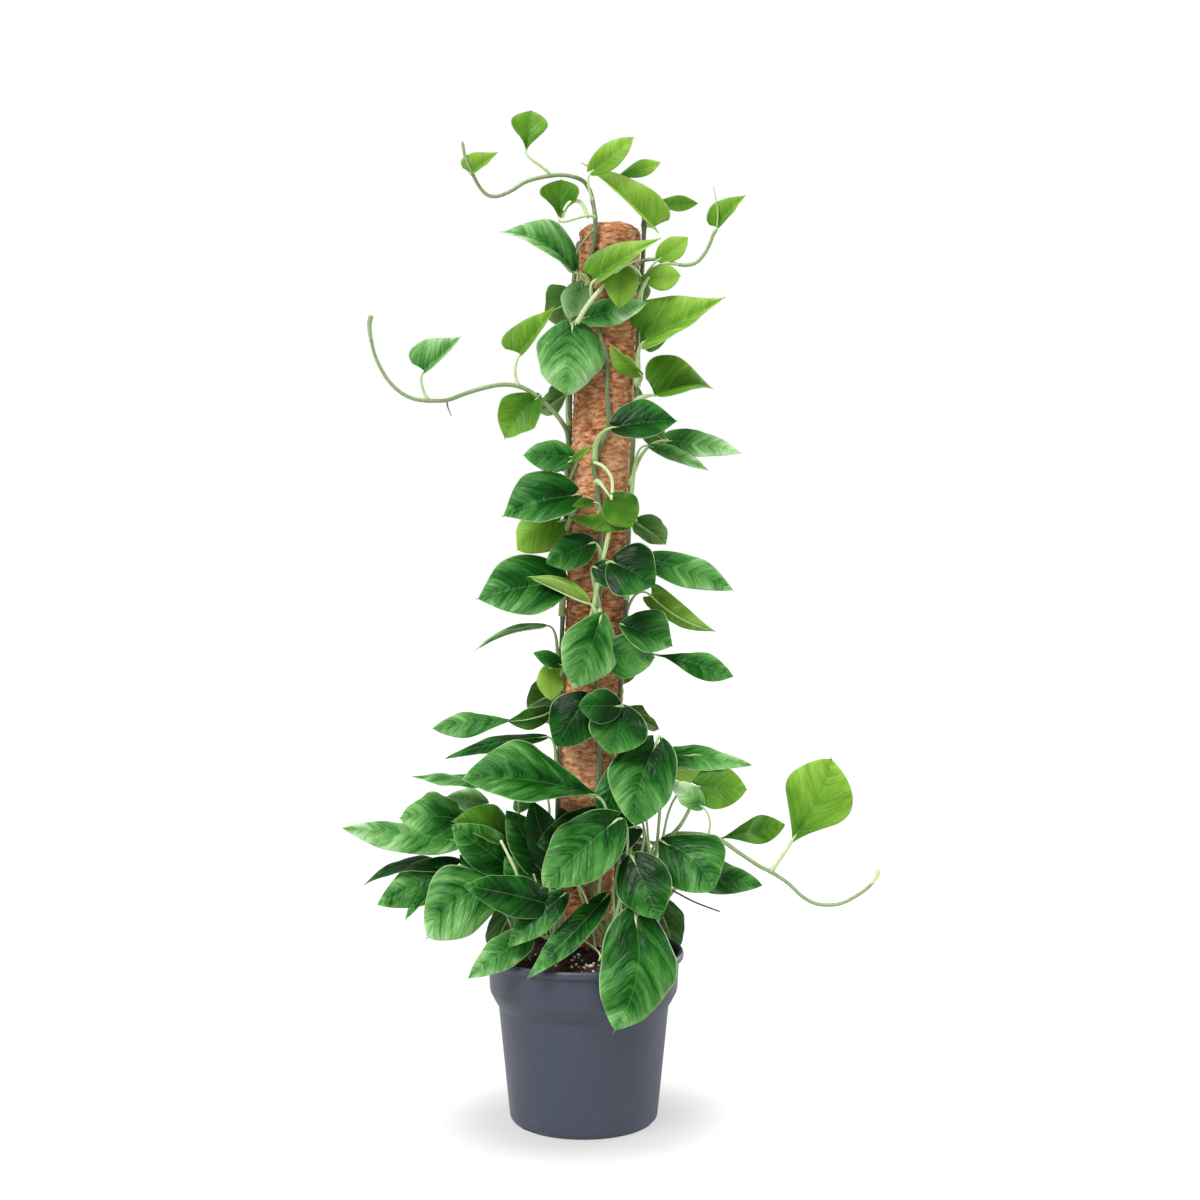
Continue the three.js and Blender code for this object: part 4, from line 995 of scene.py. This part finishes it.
def leaves_behind(path, rule):
    """Leaves behind the pole alternate left and right of their vine, and get shorter towards the top."""
    leaves = []
    for k, z in enumerate(range(rule["from"], BEHIND["top"], BEHIND["rise"])):
        number = rule["seed"] + 10 * k
        joint = next(i for i, point in enumerate(path) if point[2] > z) - 0.5
        way = 1 if k % 2 else -1
        angle = BEHIND["angle"] if point_on(path, joint)[0] > axis_x(z) else -BEHIND["angle"]
        root = way * vary(number + 1, 6, 18)
        reach = way * vary(number + 4, 36, 50) * min(1, (1160 - z) / 260)
        base = around(angle, root, z + vary(number + 2, 20, 32), vary(number + 3, 54, 62))
        tip = around(angle, reach, z + vary(number + 5, -14, 20), vary(number + 6, 66, 84))
        width = vary(number + 7, 46, 64)
        turn = -way * vary(number + 8, 15, 40)
        fold = vary(number + 9, 8, 22)
        tone = vary(number + 11, 3, 4.2)
        shape = [width, turn, fold, BEHIND["cup"], BEHIND["arch"], 0, tone]
        eye = around(angle, 0, EYE[2], -EYE[1])
        leaves.append((joint, leaf_of(base, tip, eye, shape, rule["seed"] + k)))
    return leaves


def leaves_fanned(rule):
    """Leaves of a shoot at the back fan out in layers."""
    leaves = []
    for k in range(FAN["leaves"]):
        number = rule["seed"] + 10 * k
        layer = k % FAN["layers"]
        at = rule["angle"] + (k - (FAN["leaves"] - 1) / 2) * FAN["spread"] + vary(number + 1, -3, 3)
        base_height = FAN["base_step"] * layer + vary(number + 2, 262, 276)
        base = around(at, 0, base_height, vary(number + 3, 84, 92))
        tip_height = FAN["tip_step"] * layer + vary(number + 5, 160, 210)
        tip = around(at + vary(number + 4, -4, 4), 0, tip_height, vary(number + 6, 136, 156) - 4 * layer)
        width = vary(number + 7, 56, 74)
        turn = vary(number + 8, -10, 10)
        fold = vary(number + 9, 8, 16)
        tone = vary(number, 3.2, 4.5)
        shape = [width, turn, fold, FAN["cup"], FAN["arch"], 0, tone]
        eye = around(at, 0, EYE[2], -EYE[1])
        leaves.append((1, leaf_of(base, tip, eye, shape, rule["seed"] + k)))
    return leaves


def leaves_of(name, stem, path):
    """A stem's leaves, each with the joint that it grows from: those of the table, and those of its rule."""
    leaves = []
    for k, (joint, *row) in enumerate(stem.get("leaves", [])):
        seed = 1000 + 100 * list(STEMS).index(name) + k
        leaves.append((joint, leaf_of(seen(*row[:3]), seen(*row[3:6]), EYE, row[6:], seed)))
    if "behind" in stem:
        leaves += leaves_behind(path, stem["behind"])
    if "fan" in stem:
        leaves += leaves_fanned(stem["fan"])
    return leaves


# The upper face is waxy: a smooth cuticle that mirrors the tent softly over deep green. Old leaves go from
# nearly black green by the stalk to mint at the tip, a painted shade by the stalk and painted light at the
# tip, and young ones are yellower. Veins are painted dark as shade in their grooves, the blade is painted
# darker along its middle and lighter to its edges as shade and light, and streaks along the veins are a
# painted sheen. The edge is pale. The back is matt and paler, with the same veins raised and lighter.
OLD_FACE = [(0, "#b4d8a6"), (0.25, "#78ad62"), (0.5, "#417e34"), (0.75, "#125010"), (1, "#042c04")]
YOUNG_FACE = [(0, "#cdea8c"), (0.25, "#a6cf56"), (0.5, "#76aa35"), (0.75, "#4a8220"), (1, "#2a5a12")]
OLD_BACK = [(0, "#b6d89e"), (0.25, "#86b868"), (0.5, "#569040"), (0.75, "#3c722a"), (1, "#29551d")]
YOUNG_BACK = [(0, "#d2ea98"), (0.25, "#b0d468"), (0.5, "#86b346"), (0.75, "#5c9030"), (1, "#3c6c20")]
FACE_RIB = "#5a984c"
BACK_RIB = "#b4d49a"
LEAF_EDGE = "#b4d49a"
# The share of the light that comes through a blade, which lights up young leaves from behind.
THROUGH = {"young": 0.42, "old": 0.12}
# Stalks are fleshy and pale green, stems darker and duller, and roots brown.
STALK_TONES = [(0, "#ccdcaa"), (0.3, "#9dba76"), (0.55, "#7b8e62"), (0.75, "#53663c"), (1, "#5d4c36")]
STEM_SHADES = {"clinging": 0.7, "free": 0.5}


def leaf_finish(name, old, young, rib_colour, rib_share, sunk, rough):
    """A blade's finish, laid out by the marks on its points. blade holds the place across, the vein number
    and the distance from the midrib. leaf holds the tone, whether the leaf is old and the place along. grain
    holds the metres across and along, and the leaf's own number. sunk is how much veins darken and dip; the
    darkening is painted shade in their grooves. The colour also paints shade by the stalk and along the
    middle, light towards the tip and the edges, and a sheen in streaks along the veins and in small puckers."""
    material, tree = material_of(name)
    blade = add(tree, "SeparateXYZ", {0: add(tree, "Attribute", attribute_name="blade").outputs["Vector"]})
    leaf = add(tree, "SeparateXYZ", {0: add(tree, "Attribute", attribute_name="leaf").outputs["Vector"]})
    grain = add(tree, "Attribute", attribute_name="grain").outputs["Vector"]
    aside, vein_number, off_rib = (blade.outputs[axis] for axis in "XYZ")
    tone, old_leaf, on = (leaf.outputs[axis] for axis in "XYZ")

    near = add(tree, "Math", {0: vein_number, 1: 0.5}, operation="PINGPONG")
    vein = {"Value": near, "From Max": 0.16, "To Min": 1, "To Max": 0}
    vein = add(tree, "MapRange", vein, interpolation_type="SMOOTHSTEP")
    wide = add(tree, "Math", {0: aside}, operation="ABSOLUTE")
    edge = add(tree, "MapRange", {"Value": wide, "From Min": 0.955, "From Max": 0.985})
    fades = {"Value": wide, "From Min": 0.5, "From Max": 0.95, "To Min": 1, "To Max": 0.1}
    vein = add(tree, "Math", {0: vein, 1: add(tree, "MapRange", fades)}, operation="MULTIPLY")
    off_rib = add(tree, "Math", {0: off_rib}, operation="ABSOLUTE")
    rib = {"Value": off_rib, "From Min": 0.003, "From Max": 0.01, "To Min": 1, "To Max": 0}
    rib = add(tree, "MapRange", rib)

    fine = add(tree, "Mapping", {"Vector": grain, "Scale": (50, 150, 90)})
    streaks = add(tree, "TexNoise", {"Vector": fine, "Scale": 1, "Detail": 3, "Roughness": 0.55})
    broad = add(tree, "Mapping", {"Vector": grain, "Scale": (26, 42, 50)})
    blotches = add(tree, "TexNoise", {"Vector": broad, "Scale": 1, "Detail": 2, "Roughness": 0.5})
    close = add(tree, "Mapping", {"Vector": grain, "Scale": (170, 240, 70)})
    puckers = add(tree, "TexNoise", {"Vector": close, "Scale": 1, "Detail": 1, "Roughness": 0.5})

    # Painted light and shade join the blotches of the leaf's own colour here: a sheen in streaks and
    # puckers, shade in the sunk veins, darker by the stalk and lighter to the tip, and lighter to the edges.
    uneven_with_painted_light = -0.4
    weights = ((streaks, 0.35), (puckers, 0.2), (blotches, 1.0), (vein, sunk), (on, -0.5), (wide, -0.2))
    for pattern, weight in weights:
        uneven_with_painted_light = add(tree, "Math", {0: pattern, 1: weight, 2: uneven_with_painted_light}, operation="MULTIPLY_ADD")
    vivid = add(tree, "MapRange", {"Value": old_leaf, "To Min": 0.6})
    shade = add(tree, "Math", {0: uneven_with_painted_light, 1: vivid, 2: tone}, operation="MULTIPLY_ADD")
    young_green = add(tree, "ValToRGB", {"Fac": shade}, stops=young)
    old_green = add(tree, "ValToRGB", {"Fac": shade}, stops=old)
    colour = add(tree, "MixRGB", {"Fac": old_leaf, "Color1": young_green, "Color2": old_green})
    for part, most, over in ((rib, rib_share, rib_colour), (edge, 0.65, LEAF_EDGE)):
        share = add(tree, "Math", {0: part, 1: most}, operation="MULTIPLY")
        colour = add(tree, "MixRGB", {"Fac": share, "Color1": colour, "Color2": over})

    height = add(tree, "Math", {0: streaks, 1: 0.5, 2: puckers}, operation="MULTIPLY_ADD")
    height = add(tree, "Math", {0: vein, 1: -1.5 * sunk, 2: height}, operation="MULTIPLY_ADD")
    height = add(tree, "Math", {0: height, 1: vivid}, operation="MULTIPLY")
    bump = add(tree, "Bump", {"Height": height, "Strength": 0.7, "Distance": 0.002})
    rough = {"From Min": 0.3, "From Max": 0.7, "To Min": rough - 0.06, "To Max": rough + 0.1}
    rough = add(tree, "MapRange", {"Value": streaks} | rough)
    skin = {"Base Color": colour, "Roughness": rough, "Specular IOR Level": 0.14, "Normal": bump}
    skin = add(tree, "BsdfPrincipled", skin)
    lit_through = add(tree, "BsdfTranslucent", {"Color": colour, "Normal": bump})
    thin = add(tree, "MapRange", {"Value": old_leaf, "To Min": THROUGH["young"], "To Max": THROUGH["old"]})
    add(tree, "OutputMaterial", {"Surface": add(tree, "MixShader", {0: thin, 1: skin, 2: lit_through})})
    return material


waxy_face = leaf_finish("waxy_leaf_face", OLD_FACE, YOUNG_FACE, FACE_RIB, 0.3, 0.13, 0.34)
matt_back = leaf_finish("matt_leaf_back", OLD_BACK, YOUNG_BACK, BACK_RIB, 0.45, -0.2, 0.5)

fleshy_stalk, tree = material_of("fleshy_green_stalk")
place = add(tree, "TexCoord").outputs["Object"]
leaf = add(tree, "SeparateXYZ", {0: add(tree, "Attribute", attribute_name="leaf").outputs["Vector"]})
lengthways = add(tree, "Mapping", {"Vector": place, "Scale": (1, 1, 0.2)})
streaks = add(tree, "TexNoise", {"Vector": lengthways, "Scale": 420, "Detail": 4})
mottle = add(tree, "Math", {0: streaks, 1: 0.3, 2: leaf.outputs["X"]}, operation="MULTIPLY_ADD")
mottle = add(tree, "Math", {0: mottle, 1: 0.15}, operation="SUBTRACT")
flesh = add(tree, "ValToRGB", {"Fac": mottle}, stops=STALK_TONES)
bump = add(tree, "Bump", {"Height": streaks, "Strength": 0.4, "Distance": 0.0008})
fleshy = add(tree, "BsdfPrincipled", {"Base Color": flesh, "Roughness": 0.45, "Normal": bump})
add(tree, "OutputMaterial", {"Surface": fleshy})


def stalk_skin(run, radii, sides, shade):
    """A stem, stalk or strand as a skin like a blade's. Its shade stands where a blade has its tone."""
    points, faces = rod_through(run, radii, sides)
    plain = np.zeros((len(points), 3))
    return points, faces, [2] * len(faces), [plain, plain + np.reshape(shade, (-1, 1)), plain]


def stem_skin(stem, starts):
    """The stem itself: thicker at each joint, and thinner towards a free end."""
    run = smoothed(run_of(stem), STEPS["stem"])
    left = np.cumsum(np.linalg.norm(np.diff(run[::-1], axis=0), axis=1))
    left = np.concatenate([[0], left])[::-1]
    radii = np.full(len(run), float(STEM["radius"]))
    if "free" in stem:
        radii *= np.minimum(1, TAPER["tip"] + (1 - TAPER["tip"]) * left / TAPER["over"])
    for start in starts:
        near = np.linalg.norm(run - start, axis=1) / STEM["joint"]
        radii *= 1 + STEM["swell"] * np.exp(-(near**2))
    radii[-1] *= 0.5
    clinging = np.hypot(run[:, 0] - axis_x(run[:, 2]), run[:, 1]) < POLE_RADIUS + 3 * STEM["from_pole"]
    shade = np.where(clinging, STEM_SHADES["clinging"], STEM_SHADES["free"])
    return stalk_skin(run, radii, STEM["sides"], np.repeat(shade, STEM["sides"]))


def stalk_starts(stem, path, leaves):
    """Where the stalk of each leaf leaves the stem."""
    starts = []
    for k, (joint, _) in enumerate(leaves):
        if "stand" in stem and joint == 1:
            bundle = STALK["beside"] * np.array([math.cos(2.4 * k), math.sin(2.4 * k), 0])
            starts.append(point_on(path, 1 - STALK["below"] * (k % 4)) + bundle)
        elif joint < len(stem.get("climb", [])):
            starts.append(point_on(path, max(0, joint - STALK["sooner"])))
        else:
            starts.append(point_on(path, joint))
    return starts


def plant_piece(name, stem):
    """One vine or shoot as a piece: its stem, every leaf with its stalk, and its single stalks and roots."""
    path = path_of(stem)
    leaves = leaves_of(name, stem, path)
    starts = stalk_starts(stem, path, leaves)
    skins = [stem_skin(stem, starts)]
    for start, (joint, leaf) in zip(starts, leaves):
        run, radii = stalk_run(start, leaf, joint < len(stem.get("climb", [])))
        shade = 0.02 + 0.06 * leaf.tone + 0.1 * leaf.number
        skins += [leaf_skin(leaf), stalk_skin(run, radii, STALK["sides"], shade)]
    for thick, thin, shade, *route in stem.get("strands", []):
        run = smoothed([seen(*place) for place in route], STEPS["strand"])
        skins.append(stalk_skin(run, np.linspace(thick, thin, len(run)), STALK["sides"], shade))
    points, faces, finishes, marks = zip(*skins)
    points, faces = put_together(zip(points, faces))
    finishes = [finish for of_skin in finishes for finish in of_skin]
    marks = {mark: np.vstack(found) for mark, found in zip(("blade", "leaf", "grain"), zip(*marks))}
    looks = (waxy_face, matt_back, fleshy_stalk)
    piece = object_of("leafy_" + name, points, faces, *looks, finishes=finishes, marks=marks)
    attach(piece, "root")
    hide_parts(name)


for name, stem in STEMS.items():
    plant_piece(name, stem)
